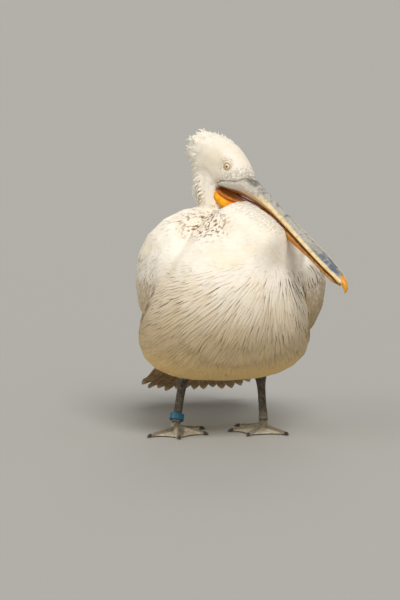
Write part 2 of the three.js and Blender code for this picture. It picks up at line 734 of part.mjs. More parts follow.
function addWings() {
  const body = bodyLoft();
  const grown = bodyLoft(GAP);
  const tail = tailLoft(GAP);
  for (const [side, sign] of [["left", 1], ["right", -1]]) {
    addSolid(`wing_${side}`, body.intersect(wingPocket(sign)), "plumage");
    const tip = wingtipLoft(sign).trimByPlane([sign, 0, 0], GAP / 2 + sign * WING_SHIFT);
    addSolid(`wingtip_${side}`, cut(tip, grown, tail), "primaries");
  }
  addSolid("tail", cut(tailLoft(), grown), "tailPlumes");
}

function addLeg(leg) {
  const { side } = leg;
  const foot = footBody(leg);
  addSolid(`thigh_${side}`, cut(thighBody(leg), shankBody(leg, GAP)), "plumage");
  addSolid(`shank_${side}`, cut(shankBody(leg), toesBody(leg, GAP)), "legSkin");
  addSolid(`foot_${side}`, foot, "legSkin");
  TOES.forEach(({ name }, toe) => {
    addSolid(`claw_${side}_${name}`, cut(clawBody(leg, toe), toesBody(leg, 2 * GAP), raised(foot)), "claw");
  });
}

// The foot with a copy of itself raised and lowered by the gap, which keeps the claws clear of it.
const raised = (foot) => joined(foot, foot.translate([0, 0, GAP]), foot.translate([0, 0, -GAP]));

function addRing() {
  const leg = LEGS.find(({ side }) => side === "right");
  const [top, bottom] = [new THREE.Vector3(...heelOf(leg)), new THREE.Vector3(...ankleOf(leg))];
  const ring = add("leg_ring", ringGeometry(), "ring");
  ring.position.copy(top.clone().lerp(bottom, RING.along));
  ring.quaternion.setFromUnitVectors(new THREE.Vector3(0, 0, 1), top.clone().sub(bottom).normalize());
}

addBody();
addHeadAndNeck();
addBill();
addEyes();
addWings();
LEGS.forEach(addLeg);
addRing();

// The origin goes on the floor under the middle of the bird.
const box = new THREE.Box3().setFromObject(pelican, true);
const centre = box.getCenter(new THREE.Vector3());
pelican.position.set(-centre.x, -centre.y, -box.min.z);

export default pelican;
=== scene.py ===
"""A life-size Dalmatian pelican, as a still museum model: skin, feathers, bill, eyes, feet and ring.

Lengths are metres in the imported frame: the bird faces -Y, its left side is +X and the floor is at 0.
"""

import math

import bmesh
import bpy
import numpy as np
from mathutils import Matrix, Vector
from mathutils.bvhtree import BVHTree
from mathutils.kdtree import KDTree


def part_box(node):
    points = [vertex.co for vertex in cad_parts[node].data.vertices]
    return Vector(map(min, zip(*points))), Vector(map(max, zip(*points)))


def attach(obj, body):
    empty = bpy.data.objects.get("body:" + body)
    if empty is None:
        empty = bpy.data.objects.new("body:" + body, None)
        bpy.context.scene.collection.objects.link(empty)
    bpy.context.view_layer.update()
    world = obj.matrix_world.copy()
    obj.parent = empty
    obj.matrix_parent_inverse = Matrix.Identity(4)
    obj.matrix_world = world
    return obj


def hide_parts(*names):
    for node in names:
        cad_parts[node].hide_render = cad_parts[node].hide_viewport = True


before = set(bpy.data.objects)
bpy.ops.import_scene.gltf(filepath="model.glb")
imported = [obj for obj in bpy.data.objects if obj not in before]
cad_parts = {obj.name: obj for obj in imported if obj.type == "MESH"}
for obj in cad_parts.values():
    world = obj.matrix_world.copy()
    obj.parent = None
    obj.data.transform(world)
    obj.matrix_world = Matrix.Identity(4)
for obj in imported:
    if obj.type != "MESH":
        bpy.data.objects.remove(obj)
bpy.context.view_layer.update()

RANDOM = np.random.default_rng(20260)
MM = 0.001

# ---- small tools ----


def colour(red, green, blue):
    """A colour given as a screen shows it, 0 to 255, in the shader's own linear terms."""
    linear = [((c / 255 + 0.055) / 1.055) ** 2.4 for c in (red, green, blue)]
    return (*linear, 1.0)


def unit(vectors):
    vectors = np.asarray(vectors, float)
    return vectors / np.maximum(np.linalg.norm(vectors, axis=-1, keepdims=True), 1e-12)


def smoothstep(low, high, value):
    """0 up to low, 1 from high on, and a smooth rise between them. low may be the higher one."""
    share = np.clip((value - low) / (high - low), 0, 1)
    return share * share * (3 - 2 * share)


def mixed(a, b, share):
    return a + (b - a) * share


def along_surface(vectors, normals):
    """The part of each vector that lies in the surface, with unit length."""
    return unit(vectors - (vectors * normals).sum(-1, keepdims=True) * normals)


def middle_of(node):
    low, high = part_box(node)
    return np.array((low + high) / 2)


# ---- the head's own frame ----
# The bill runs along -Y from between the eyes, and +X is the bird's left.
HEAD_PITCH = math.radians(32.5)
EYE_LEFT, EYE_RIGHT = middle_of("eye_left"), middle_of("eye_right")
HEAD_AT = (EYE_LEFT + EYE_RIGHT) / 2
HEAD_ACROSS = unit(EYE_LEFT - EYE_RIGHT)
HEAD_YAW = math.atan2(HEAD_ACROSS[1], HEAD_ACROSS[0])
HEAD_BACK = np.array(
    [
        -math.sin(HEAD_YAW) * math.cos(HEAD_PITCH),
        math.cos(HEAD_YAW) * math.cos(HEAD_PITCH),
        math.sin(HEAD_PITCH),
    ]
)
HEAD_AXES = np.stack([HEAD_ACROSS, HEAD_BACK, np.cross(HEAD_ACROSS, HEAD_BACK)])


def to_head(points):
    return (points - HEAD_AT) @ HEAD_AXES.T


def from_head(points):
    return points @ HEAD_AXES + HEAD_AT


# ---- meshes ----


def new_object(name, mesh):
    made = bpy.data.objects.new(name, mesh)
    bpy.context.scene.collection.objects.link(made)
    return made


def mesh_from(name, points, quads):
    """A smooth-shaded mesh of four-sided faces, from arrays."""
    mesh = bpy.data.meshes.new(name)
    mesh.vertices.add(len(points))
    mesh.vertices.foreach_set("co", points.astype(np.float32).ravel())
    mesh.loops.add(quads.size)
    mesh.loops.foreach_set("vertex_index", quads.astype(np.int32).ravel())
    mesh.polygons.add(len(quads))
    mesh.polygons.foreach_set("loop_start", np.arange(0, quads.size, 4, dtype=np.int32))
    mesh.polygons.foreach_set("use_smooth", np.ones(len(quads), bool))
    mesh.update(calc_edges=True)
    return mesh


def points_of(mesh):
    found = np.empty(len(mesh.vertices) * 3, np.float32)
    mesh.vertices.foreach_get("co", found)
    return found.reshape(-1, 3).astype(float)


def normals_of(mesh):
    found = np.empty(len(mesh.vertices) * 3, np.float32)
    mesh.vertex_normals.foreach_get("vector", found)
    return found.reshape(-1, 3).astype(float)


def move_points(mesh, points):
    mesh.vertices.foreach_set("co", points.astype(np.float32).ravel())
    mesh.update()


def edges_of(mesh):
    found = np.empty(len(mesh.edges) * 2, np.int32)
    mesh.edges.foreach_get("vertices", found)
    return found.reshape(-1, 2)


def relaxed(values, edges, rounds):
    """Values on a mesh's vertices, each moved half way to its neighbours' mean, round after round."""
    flat = np.array(values, float).reshape(len(values), -1)
    count = np.bincount(edges.ravel(), minlength=len(flat)).astype(float)[:, None]
    for _ in range(rounds):
        total = np.zeros_like(flat)
        for column in range(flat.shape[1]):
            total[:, column] = np.bincount(
                edges[:, 0], flat[edges[:, 1], column], len(flat)
            ) + np.bincount(edges[:, 1], flat[edges[:, 0], column], len(flat))
        flat = (flat + total / np.maximum(count, 1)) / 2
    return flat.reshape(np.shape(values))


def baked(obj):
    """The object's mesh with its modifiers applied, which then has none."""
    graph = bpy.context.evaluated_depsgraph_get()
    graph.update()
    mesh = bpy.data.meshes.new_from_object(obj.evaluated_get(graph), depsgraph=graph)
    obj.modifiers.clear()
    obj.data = mesh
    return obj


def body_of(name, nodes, cell, grow, softening):
    """The CAD nodes as one closed smooth body. They are grown first, so that the thin cuts close."""
    joined = bmesh.new()
    for node in nodes:
        piece = bmesh.new()
        piece.from_mesh(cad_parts[node].data)
        bmesh.ops.remove_doubles(piece, verts=piece.verts, dist=1e-6)
        piece.normal_update()
        for vertex in piece.verts:
            vertex.co += vertex.normal * grow
        mesh = bpy.data.meshes.new(name)
        piece.to_mesh(mesh)
        piece.free()
        joined.from_mesh(mesh)
        bpy.data.meshes.remove(mesh)
    mesh = bpy.data.meshes.new(name)
    joined.to_mesh(mesh)
    joined.free()
    made = new_object(name, mesh)
    remesh = made.modifiers.new("closed", "REMESH")
    remesh.mode = "VOXEL"
    remesh.voxel_size = cell
    remesh.use_smooth_shade = True
    smooth = made.modifiers.new("softened", "SMOOTH")
    smooth.factor = 0.5
    smooth.iterations = softening
    baked(made).data.materials.clear()
    return made


ROUNDNESS = 2.2  # 2 makes a ring an ellipse, and more makes it squarer


def lofted(rows, rings, sides):
    """Rings of points round a body, through rows of (y, top, bottom, half width). Both ends are poles."""
    y, top, bottom, half = np.array(sorted(rows), float).T
    knots = np.stack([y, (top + bottom) / 2, half, (top - bottom) / 2], 1)
    turned = np.array([1, 1, -1, -1])
    knots = np.vstack([knots[1] * turned, knots, knots[-2] * turned])
    run = np.linspace(0, len(y) - 1, rings)
    i = np.minimum(run.astype(int), len(y) - 2)
    t = (run - i)[:, None]
    a, b, c, d = knots[i], knots[i + 1], knots[i + 2], knots[i + 3]
    at = b + t * (c - a + t * (2 * a - 5 * b + 4 * c - d + t * (3 * (b - c) + d - a))) / 2
    angle = np.linspace(0, 2 * math.pi, sides, endpoint=False)
    across = np.sign(np.sin(angle)) * np.abs(np.sin(angle)) ** (2 / ROUNDNESS)
    rise = np.sign(np.cos(angle)) * np.abs(np.cos(angle)) ** (2 / ROUNDNESS)
    flank = np.minimum(angle, 2 * math.pi - angle) / (math.pi / 2)
    points = np.stack([at[:, 2:3] * across, at[:, :1] + 0 * across, at[:, 1:2] + at[:, 3:4] * rise], -1)
    return points, np.broadcast_to(flank, points.shape[:2])


def round_piece(name, grid, values=(), closed_ends=True):
    """One body from rings of points. Its poles, or its first and last ring, are joined."""
    rings, sides = grid.shape[:2]
    index = np.arange(rings * sides).reshape(rings, sides)
    near, far = (index[:-1], index[1:]) if closed_ends else (index, np.roll(index, -1, 0))
    quads = np.stack([near, far, np.roll(far, -1, 1), np.roll(near, -1, 1)], -1).reshape(-1, 4)
    mesh = mesh_from(name, grid.reshape(-1, 3), quads)
    for key, given in dict(values).items():
        marked(mesh, key, given.ravel())
    work = bmesh.new()
    work.from_mesh(mesh)
    bmesh.ops.remove_doubles(work, verts=work.verts, dist=1e-6)
    bmesh.ops.recalc_face_normals(work, faces=work.faces)
    work.to_mesh(mesh)
    work.free()
    return new_object(name, mesh)


def marked(mesh, key, values):
    """Writes a value on each vertex, for the material to read."""
    made = mesh.attributes.new(key, "FLOAT", "POINT")
    made.data.foreach_set("value", np.asarray(values, np.float32))


def lumps(points, size, seed=0):
    """A smooth irregular wave through space, about from -1 to 1, with waves of this size."""
    chance = np.random.default_rng(seed)
    ways = unit(chance.normal(0, 1, (9, 3))) * chance.uniform(0.6, 1.5, (9, 1)) * 2 * math.pi / size
    return np.sin(points @ ways.T + chance.uniform(0, 2 * math.pi, 9)).mean(-1) * 2


# ---- the envelope: the body to the tips of its feathers, which the feathers are laid on ----
HEAD_NODES = ["head", "crest", "neck_upper"]
WING_NODES = ["wing_left", "wing_right"]
THIGH_NODES = ["thigh_left", "thigh_right"]
BODY_NODES = ["neck_lower", "trunk", *WING_NODES, *THIGH_NODES]
TIP_NODES = ["wingtip_left", "wingtip_right"]
LEG_NODES = ["shank_left", "shank_right", "foot_left", "foot_right"]
FEATHERED = [*HEAD_NODES, *BODY_NODES, "tail", *TIP_NODES]


def faces_of(nodes):
    """The CAD nodes' points and faces in one list each, and for each face its node's place in nodes."""
    points, faces, owner = [], [], []
    for place, node in enumerate(nodes):
        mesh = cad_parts[node].data
        start = len(points)
        points += [tuple(v.co) for v in mesh.vertices]
        faces += [[start + i for i in p.vertices] for p in mesh.polygons]
        owner += [place] * len(mesh.polygons)
    return points, faces, owner


def owners(points, nodes):
    """For each point, the place in nodes of the CAD node that it is nearest to."""
    vertices, faces, owner = faces_of(nodes)
    tree = BVHTree.FromPolygons(vertices, faces)
    return np.array([owner[tree.find_nearest(p)[2]] for p in points.tolist()])


class Surface:
    """A body of four-sided faces, with values on its vertices that can be read anywhere on it."""

    def __init__(self, obj):
        mesh = obj.data
        self.points, self.normals, self.edges = points_of(mesh), normals_of(mesh), edges_of(mesh)
        corners = np.empty(len(mesh.loops), np.int32)
        mesh.loops.foreach_get("vertex_index", corners)
        self.quads = corners.reshape(-1, 4)
        self.tree = BVHTree.FromPolygons(self.points.tolist(), self.quads.tolist())

    def shares(self, places, faces):
        """For reading values at places on these faces: the faces' corners, and how much each counts."""
        corners = self.quads[faces]
        near = 1 / (np.linalg.norm(self.points[corners] - places[:, None], axis=2) + 1e-5) ** 2
        return corners, near / near.sum(1, keepdims=True)

    def nearest(self, points):
        found = [self.tree.find_nearest(p) for p in points.tolist()]
        places = np.array([f[0][:] for f in found])
        return places, self.shares(places, [f[2] for f in found])

    def read(self, values, where):
        corners, shares = where
        picked = values[corners]
        shares = shares.reshape(shares.shape + (1,) * (picked.ndim - 2))
        return (picked * shares).sum(1)

    def scattered(self, chosen, lie, across, along):
        """Points over the chosen faces. Round each is an oval with no other point, long along the lie."""
        corners = self.points[self.quads]
        diagonals = np.cross(corners[:, 2] - corners[:, 0], corners[:, 3] - corners[:, 1])
        area = np.linalg.norm(diagonals, axis=1) / 2
        room = (across * along)[self.quads].mean(1)
        weight = np.where(chosen, area / room, 0)
        count = int(CANDIDATES * weight.sum())
        face = RANDOM.choice(len(weight), count, p=weight / weight.sum())
        u, v = RANDOM.random((2, count, 1))
        near_side = mixed(corners[face, 0], corners[face, 1], u)
        at = mixed(near_side, mixed(corners[face, 3], corners[face, 2], u), v)
        tree = KDTree(count)
        for i, place in enumerate(at.tolist()):
            tree.insert(place, i)
        tree.balance()
        way, wide, long = (values[self.quads].mean(1)[face] for values in (lie, across, along))
        free, kept = np.ones(count, bool), []
        for i in range(count):
            if not free[i]:
                continue
            kept.append(i)
            near = np.array([j for _, j, _ in tree.find_range(at[i], max(wide[i], long[i]))])
            away = at[near] - at[i]
            ahead = away @ way[i]
            aside = (away**2).sum(1) - ahead**2
            free[near[(ahead / long[i]) ** 2 + aside / wide[i] ** 2 < 1]] = False
        return at[kept]


CANDIDATES = 6  # points tried for each one that fits
ENVELOPE_CELL = 4 * MM
# The upper bill's lower edge in the head's frame, as (how far forward, how high) in mm.
BILL_EDGE = np.array(
    [(-12, -57), (12, -53), (32, -47), (54, -39), (82, -30), (114, -21), (160, -13), (232, -10)]
)


def edge_height(forward):
    """How high the upper bill's edge is in the head's frame, this far forward. In mm."""
    return np.interp(forward, BILL_EDGE[:, 0], BILL_EDGE[:, 1])


def pressed_up(points):
    """The feathers of the breast stand up along the right side of the bill that is pressed into them."""
    place = to_head(points) / MM
    across, forward, height = place[:, 0], -place[:, 1], place[:, 2]
    gap = edge_height(forward) - 3 - height
    share = smoothstep(-98, -34, across) * smoothstep(8, -10, across)
    share = share * smoothstep(44, 84, forward) * smoothstep(248, 205, forward)
    share = share * (gap > 0) * smoothstep(95, 60, gap)
    place[:, 2] += share * gap
    return from_head(place * MM)


GROWN = 0.9 * MM  # by which solids grow before they are joined to one body
envelope_body = body_of("envelope", FEATHERED, ENVELOPE_CELL, GROWN, 5)
LABEL = owners(points_of(envelope_body.data), FEATHERED)
behind_breast = (points_of(envelope_body.data) > [118 * MM, -165 * MM, 215 * MM]).all(1)
LABEL[behind_breast & (LABEL == FEATHERED.index("trunk"))] = FEATHERED.index("wing_left")
move_points(envelope_body.data, pressed_up(points_of(envelope_body.data)))
ENVELOPE = Surface(envelope_body)
bpy.data.objects.remove(envelope_body)
P, N = ENVELOPE.points, ENVELOPE.normals
X, Y, Z = P.T


def labelled(*names):
    return np.isin(LABEL, [FEATHERED.index(n) for n in names])


# ---- the lie of the coat ----
WINGS = labelled(*WING_NODES)
TRUNK = labelled("trunk", "neck_lower")
# The breast's front: the way it faces, and the way to the right and up as one stands before it.
FRONT_OUT = np.array([-0.1724, -0.9775, 0.1219])
FRONT_RIGHT = np.array([0.9848, -0.1736, 0])
FRONT_UP = np.cross(FRONT_OUT, FRONT_RIGHT)
# Where the breast's feathers part, right and up from the first origin.
SPREAD_AT = np.array([104, 402]) * MM
FIRST_ORIGIN = np.array([-7.278, -62.071, 0]) * MM
WING_POINT = np.array([0, 400, 165]) * MM  # the folded wings' feathers run together here


def spread_over_breast():
    """Feathers that spread sideways and down from one place, as one sees them from the front."""
    right = (P - FIRST_ORIGIN) @ FRONT_RIGHT - SPREAD_AT[0]
    up = (P - FIRST_ORIGIN) @ FRONT_UP - SPREAD_AT[1]
    down = np.minimum(up, -0.2 * np.abs(right) - 12 * MM)
    way = unit(right[:, None] * FRONT_RIGHT + down[:, None] * FRONT_UP)
    facing = np.maximum(N @ FRONT_OUT, 0.3)
    return unit(way - FRONT_OUT * ((way * N).sum(1) / facing)[:, None])


def lie_of_coat():
    """The way the feathers point, on each vertex of the envelope."""
    spread = spread_over_breast()
    behind = smoothstep(-0.17, 0.12, Y)[:, None]
    way = mixed(spread, np.array([0, 0.94, -0.34]), behind)
    rear = smoothstep(-0.12, 0.05, Y)[:, None]
    wing = mixed(np.array([0, 0.42, -0.91]), unit(WING_POINT - P), rear)
    way[WINGS] = wing[WINGS]
    back, up = HEAD_AXES[1], HEAD_AXES[2]
    way[labelled("head")] = back - 0.1 * up
    way[labelled("crest")] = back - 0.35 * up
    way[labelled("neck_upper")] = [0, 0.1, -1]
    way[labelled(*THIGH_NODES)] = [0, 0.35, -0.94]
    way[labelled("tail")] = TAIL_AHEAD
    way[labelled(*TIP_NODES)] = [0, 0.87, -0.5]
    for _ in range(6):
        way = along_surface(relaxed(way, ENVELOPE.edges, 6), N)
    place = to_head(P)
    aside = unit(place * [0, 1, 1]) @ HEAD_AXES
    near = smoothstep(24 * MM, 9 * MM, np.hypot(place[:, 1], place[:, 2]))[:, None]
    return along_surface(way + 1.6 * near * aside, N)


TAIL_SLOPE = math.radians(-46)
TAIL_AHEAD = np.array([0, math.cos(TAIL_SLOPE), math.sin(TAIL_SLOPE)])
LIE = lie_of_coat()


def field(base, *changes):
    """A measure on each vertex of the envelope: base, then each (where, value) in turn, then smoothed."""
    made = np.full(len(LABEL), float(base))
    for where, value in changes:
        made = np.where(where, value, made)
    return relaxed(made, ENVELOPE.edges, 14)


FRONT = smoothstep(0.08, -0.10, Y)
LOW = smoothstep(0.42, 0.34, Z)
LOWEST = smoothstep(0.22, 0.13, Z)
UNDER = smoothstep(-0.35, -0.85, N[:, 2])
WING_RUN = smoothstep(-0.13, 0.30, Y)
HEAD_RUN = smoothstep(-30 * MM, 70 * MM, to_head(P)[:, 1])
FACE, CREST, NECK = labelled("head"), labelled("crest"), labelled("neck_upper")
THIGHS = labelled(*THIGH_NODES)
TAIL_AND_TIPS = labelled("tail", *TIP_NODES)
FROM_FIRST = P - FIRST_ORIGIN
FROM_PARTING = np.hypot(FROM_FIRST @ FRONT_RIGHT - SPREAD_AT[0], FROM_FIRST @ FRONT_UP - SPREAD_AT[1])
LINED = smoothstep(120 * MM, 225 * MM, FROM_PARTING) * smoothstep(0.42, 0.36, Z)
BY_WING = relaxed(WINGS.astype(float), ENVELOPE.edges, 90)

PARTING_AT = np.array([71, -78, 479]) * MM  # on the shoulder, where the lie of the coat has its source
FROM_SOURCE = np.linalg.norm(P - PARTING_AT, axis=1)
BY_PARTING = mixed(0.45, 1, smoothstep(15 * MM, 75 * MM, FROM_PARTING))
BY_PARTING = np.minimum(BY_PARTING, mixed(0.3, 1, smoothstep(3 * MM, 55 * MM, FROM_SOURCE)))
NAPE = smoothstep(-0.15, 0.45, N @ unit(HEAD_AXES[1] * [1, 1, 0]))

LENGTH = MM * field(
    30,
    (TRUNK, BY_PARTING * mixed(mixed(38, mixed(mixed(24, 84, LOW), 52, LOWEST), FRONT), 40, UNDER)),
    (WINGS, BY_PARTING * mixed(44, 96, WING_RUN)),
    (FACE, mixed(6, 13, HEAD_RUN)),
    (CREST, 20),
    (NECK, mixed(13, 28, NAPE)),
    (THIGHS, 20),
    (TAIL_AND_TIPS, 46),
)
WIDTH = MM * field(
    12,
    (TRUNK, BY_PARTING * mixed(14, mixed(10, 7.2, LOW), FRONT)),
    (WINGS, BY_PARTING * mixed(13, 20, WING_RUN)),
    (FACE, mixed(2.4, 3.8, HEAD_RUN)),
    (CREST, 3.8),
    (NECK, 4.2),
    (THIGHS, 8),
    (TAIL_AND_TIPS, 15),
)
DEPTH = MM * field(
    7,
    (TRUNK, mixed(5, mixed(1.6, 4, LOW), FRONT)),
    (WINGS, mixed(3, 6, WING_RUN)),
    (FACE, mixed(0.9, 1.4, HEAD_RUN)),
    (CREST, 2.2),
    (NECK, 3),
    (THIGHS, 5),
    (TAIL_AND_TIPS, 3),
)
POINTED = field(
    0.35,
    (TRUNK, mixed(0.35, mixed(0.3, 0.75, LOW), FRONT)),
    (WINGS, mixed(0.5, 0.7, WING_RUN)),
    (FACE | CREST | NECK, 0.9),
)
# How strong the painted shade is at the feathers' roots and along one side of each: the shaded lines
# between the plumes.
SHADE_STREAKED = field(
    0.3,
    (TRUNK, mixed(0.4, mixed(LINED, 0.35, LOWEST), FRONT)),
    (WINGS, mixed(0.9 * smoothstep(0.45, 0.36, Z), 0.75, WING_RUN)),
    (FACE | CREST | NECK, 0.0),
)
FLATNESS = field(
    0.8,
    (TRUNK, mixed(0.8, mixed(1, 0.75, LINED), FRONT)),
    (WINGS, 0.9),
    (FACE, 1),
    (NECK, 1 - NAPE),
    (CREST, 0.5),
)
# The folded wing's lower edge, where its darker grey feathers show: how far back and how high, in mm.
WING_EDGE = np.array([(-108, 268), (-52, 222), (28, 200), (118, 190), (218, 194), (310, 196)])
edge_at = np.interp(Y / MM, WING_EDGE[:, 0], WING_EDGE[:, 1]) - np.where(X > 0, 16, 0)
ABOVE_EDGE = Z / MM - edge_at
BY_TRUNK = relaxed(TRUNK.astype(float), ENVELOPE.edges, 70)
# Painted shadow in the gap between the breast's plumes and the wing's front edge.
GAP_SHADOW = WINGS * smoothstep(0.03, 0.15, BY_TRUNK) * smoothstep(-0.02, -0.05, Y)
GAP_SHADOW = GAP_SHADOW * smoothstep(0.19, 0.23, Z) * smoothstep(0.35, 0.3, Z)
# Painted shade on the far wing, which is turned from the light.
FAR_WING_SHADE = smoothstep(0.1, 0.13, X) * smoothstep(0.0, -0.06, Y) * smoothstep(0.44, 0.38, Z)
EDGE_DUSK = smoothstep(64, 22, ABOVE_EDGE) * mixed(0.45, 1, smoothstep(-0.03, 0.1, Y))
# The darker grey feathers of the wing's lower edge, which are their own colour, with painted shade on the
# far wing and then the painted shadow of the gap beside the breast.
DUSKY_AND_SHADED = field(0, (WINGS, np.maximum(EDGE_DUSK, 0.55 * FAR_WING_SHADE)))
BROKEN_UP = smoothstep(-0.5, 0.3, lumps(P, 16 * MM, 21))
DUSKY_AND_SHADED = np.maximum(DUSKY_AND_SHADED, relaxed(2.6 * GAP_SHADOW * BROKEN_UP, ENVELOPE.edges, 2))
SHAFTED = field(
    0,
    (WINGS, mixed(0.5 * smoothstep(0.43, 0.36, Z), 0.8, smoothstep(0.05, 0.18, Y))),
    (TRUNK, mixed(0.3, 0, FRONT)),
)
PLUMES_STAND = BY_WING * FRONT * smoothstep(0.42, 0.35, Z)
CREST_END = smoothstep(100, 128, to_head(P)[:, 1] / MM)
LIFTED = MM * field(
    0,
    (TRUNK, 7 * PLUMES_STAND),
    (WINGS, mixed(-4, 0, WING_RUN) * mixed(0.2, 1, smoothstep(0.42, 0.35, Z))),
    (NECK, NAPE * mixed(1, 17, smoothstep(0.507, 0.54, Z))),
    (CREST, -2.5 * CREST_END),
)

# ---- marks, with the painted shade and bounced light of the underparts, the same on the skin and on the coat ----
MANTLE_AT = np.array([-42, -128, 450]) * MM
MANTLE_REACH = np.array([74, 95, 56]) * MM
EYE_OPENING = 6.3 * MM
EYE_HALF = np.linalg.norm(EYE_LEFT - EYE_RIGHT) / 2
GAZE_AHEAD, GAZE_UP = math.radians(20), math.radians(9)  # from straight out of the head's side
# The left eye's gaze in the head's frame. The right one's is its mirror image.
GAZE = np.array([
    math.cos(GAZE_AHEAD) * math.cos(GAZE_UP),
    -math.sin(GAZE_AHEAD) * math.cos(GAZE_UP),
    math.sin(GAZE_UP),
])


def from_eye(points):
    """How far each point is from the line of the gaze of the eye on its side."""
    side = np.where(points @ HEAD_ACROSS > HEAD_AT @ HEAD_ACROSS, 1, -1)
    place = to_head(points) * side[:, None] ** [1, 0, 0]
    return np.linalg.norm(np.cross(place - [EYE_HALF, 0, 0], GAZE), axis=1)


def marks_and_light(points):
    """How far each point is in the brown of the shoulders, in the painted shade and the painted warm
    bounced light of the underparts, and round the eye.
    """
    mantle = np.linalg.norm((points - MANTLE_AT) / MANTLE_REACH, axis=1)
    brown = smoothstep(1.15, 0.5, mantle)
    before = smoothstep(0.16, -0.04, points[:, 1])
    # Painted shade, warmed by light bounced up from below: darker and tan towards the bottom of the breast
    # and belly.
    stained = smoothstep(0.41, 0.25, points[:, 2]) * mixed(0.4, 1, before)
    # Painted warm light bounced up from below, paler and golden on the lowest belly.
    golden = smoothstep(0.26, 0.15, points[:, 2]) * mixed(0.15, 1, before)
    ringed = smoothstep(20 * MM, 15 * MM, from_eye(points)) * smoothstep(9 * MM, 11 * MM, from_eye(points))
    place = to_head(points) / MM
    over_bill = smoothstep(-9, -1, place[:, 2] - edge_height(-place[:, 1]))
    lored = smoothstep(-12, -34, place[:, 1] + 0.7 * place[:, 2]) * over_bill
    return {"brown": brown, "stained": stained, "golden": golden, "ringed": ringed, "lored": lored}


# ---- materials ----


class Paint:
    """A material's nodes. Each method adds one node and returns its output."""

    def __init__(self, name, **sockets):
        self.material = bpy.data.materials.new(name)
        self.material.use_nodes = True
        self.tree = self.material.node_tree
        self.shader = self.tree.nodes["Principled BSDF"]
        for socket, value in sockets.items():
            self.set(self.shader.inputs[socket.replace("_", " ")], value)

    def set(self, socket, value):
        if isinstance(value, bpy.types.NodeSocket):
            self.tree.links.new(value, socket)
        else:
            socket.default_value = value

    def add(self, kind, output, settings=(), **sockets):
        node = self.tree.nodes.new("ShaderNode" + kind)
        for name, value in dict(settings).items():
            setattr(node, name, value)
        for name, value in sockets.items():
            key = int(name[1:]) if name[1:].isdigit() else name.replace("_", " ")
            self.set(node.inputs[key], value)
        return node.outputs[output]

    def value(self, name):
        return self.add("Attribute", "Fac", {"attribute_name": name})

    def place(self):
        return self.add("TexCoord", "Object")

    def noise(self, scale, detail=3, where=None, stretch=None):
        at = where or self.place()
        if stretch:
            at = self.add("Mapping", "Vector", Vector=at, Scale=stretch)
        return self.add("TexNoise", "Fac", Vector=at, Scale=scale, Detail=detail)

    def maths(self, operation, a, b=0.0, c=0.0):
        return self.add("Math", "Value", {"operation": operation}, _0=a, _1=b, _2=c)

    def times(self, *shares):
        made = shares[0]
        for share in shares[1:]:
            made = self.maths("MULTIPLY", made, share)
        return made

    def within(self, value, low, high):
        """0 below low, 1 above high. low may be the higher one."""
        settings = {"interpolation_type": "SMOOTHSTEP"}
        turned = low > high
        ends = {"From_Min": min(low, high), "From_Max": max(low, high)}
        ends |= {"To_Min": float(turned), "To_Max": float(not turned)}
        return self.add("MapRange", "Result", settings, Value=value, **ends)

    def patches(self, scale, detail, low, high):
        """Irregular patches, as 0 and 1 with soft edges."""
        return self.within(self.noise(scale, detail), low, high)

    def over(self, under, tint, *shares):
        """One colour over another, as strong as the product of the shares."""
        node = self.tree.nodes.new("ShaderNodeMix")
        node.data_type = "RGBA"
        for place, value in ((0, self.times(*shares)), (6, under), (7, tint)):
            self.set(node.inputs[place], value)
        return node.outputs[2]

    def bump(self, height, depth, strength=1.0):
        return self.add("Bump", "Normal", Height=height, Distance=depth, Strength=strength)

    def finish(self, tint, rough=None, normal=None):
        self.set(self.shader.inputs["Base Color"], tint)
        if rough is not None:
            self.set(self.shader.inputs["Roughness"], rough)
        if normal is not None:
            self.set(self.shader.inputs["Normal"], normal)
        return self.material


WHITE = colour(246, 241, 232)
CREAM = colour(238, 226, 203)
SHADE = colour(164, 134, 96)
# Painted shade, warm from light bounced up from below, on the lower breast and belly.
UNDERSIDE_SHADE_TINT = colour(182, 157, 114)
# Painted warm light bounced up from below, on the lowest belly.
BOUNCE_LIGHT_TINT = colour(244, 208, 138)
BROWN = colour(140, 108, 80)
# The darker grey of the wing's lower edge, also used as painted shade on the far wing.
DUSK_AND_SHADE_TINT = colour(142, 132, 118)
# Dark shafts, and the painted shadow in the gap beside the breast's plumes.
SHAFT_AND_GAP_SHADE = colour(74, 64, 56)
MOTTLE = colour(220, 208, 188)
LORE = colour(176, 168, 156)


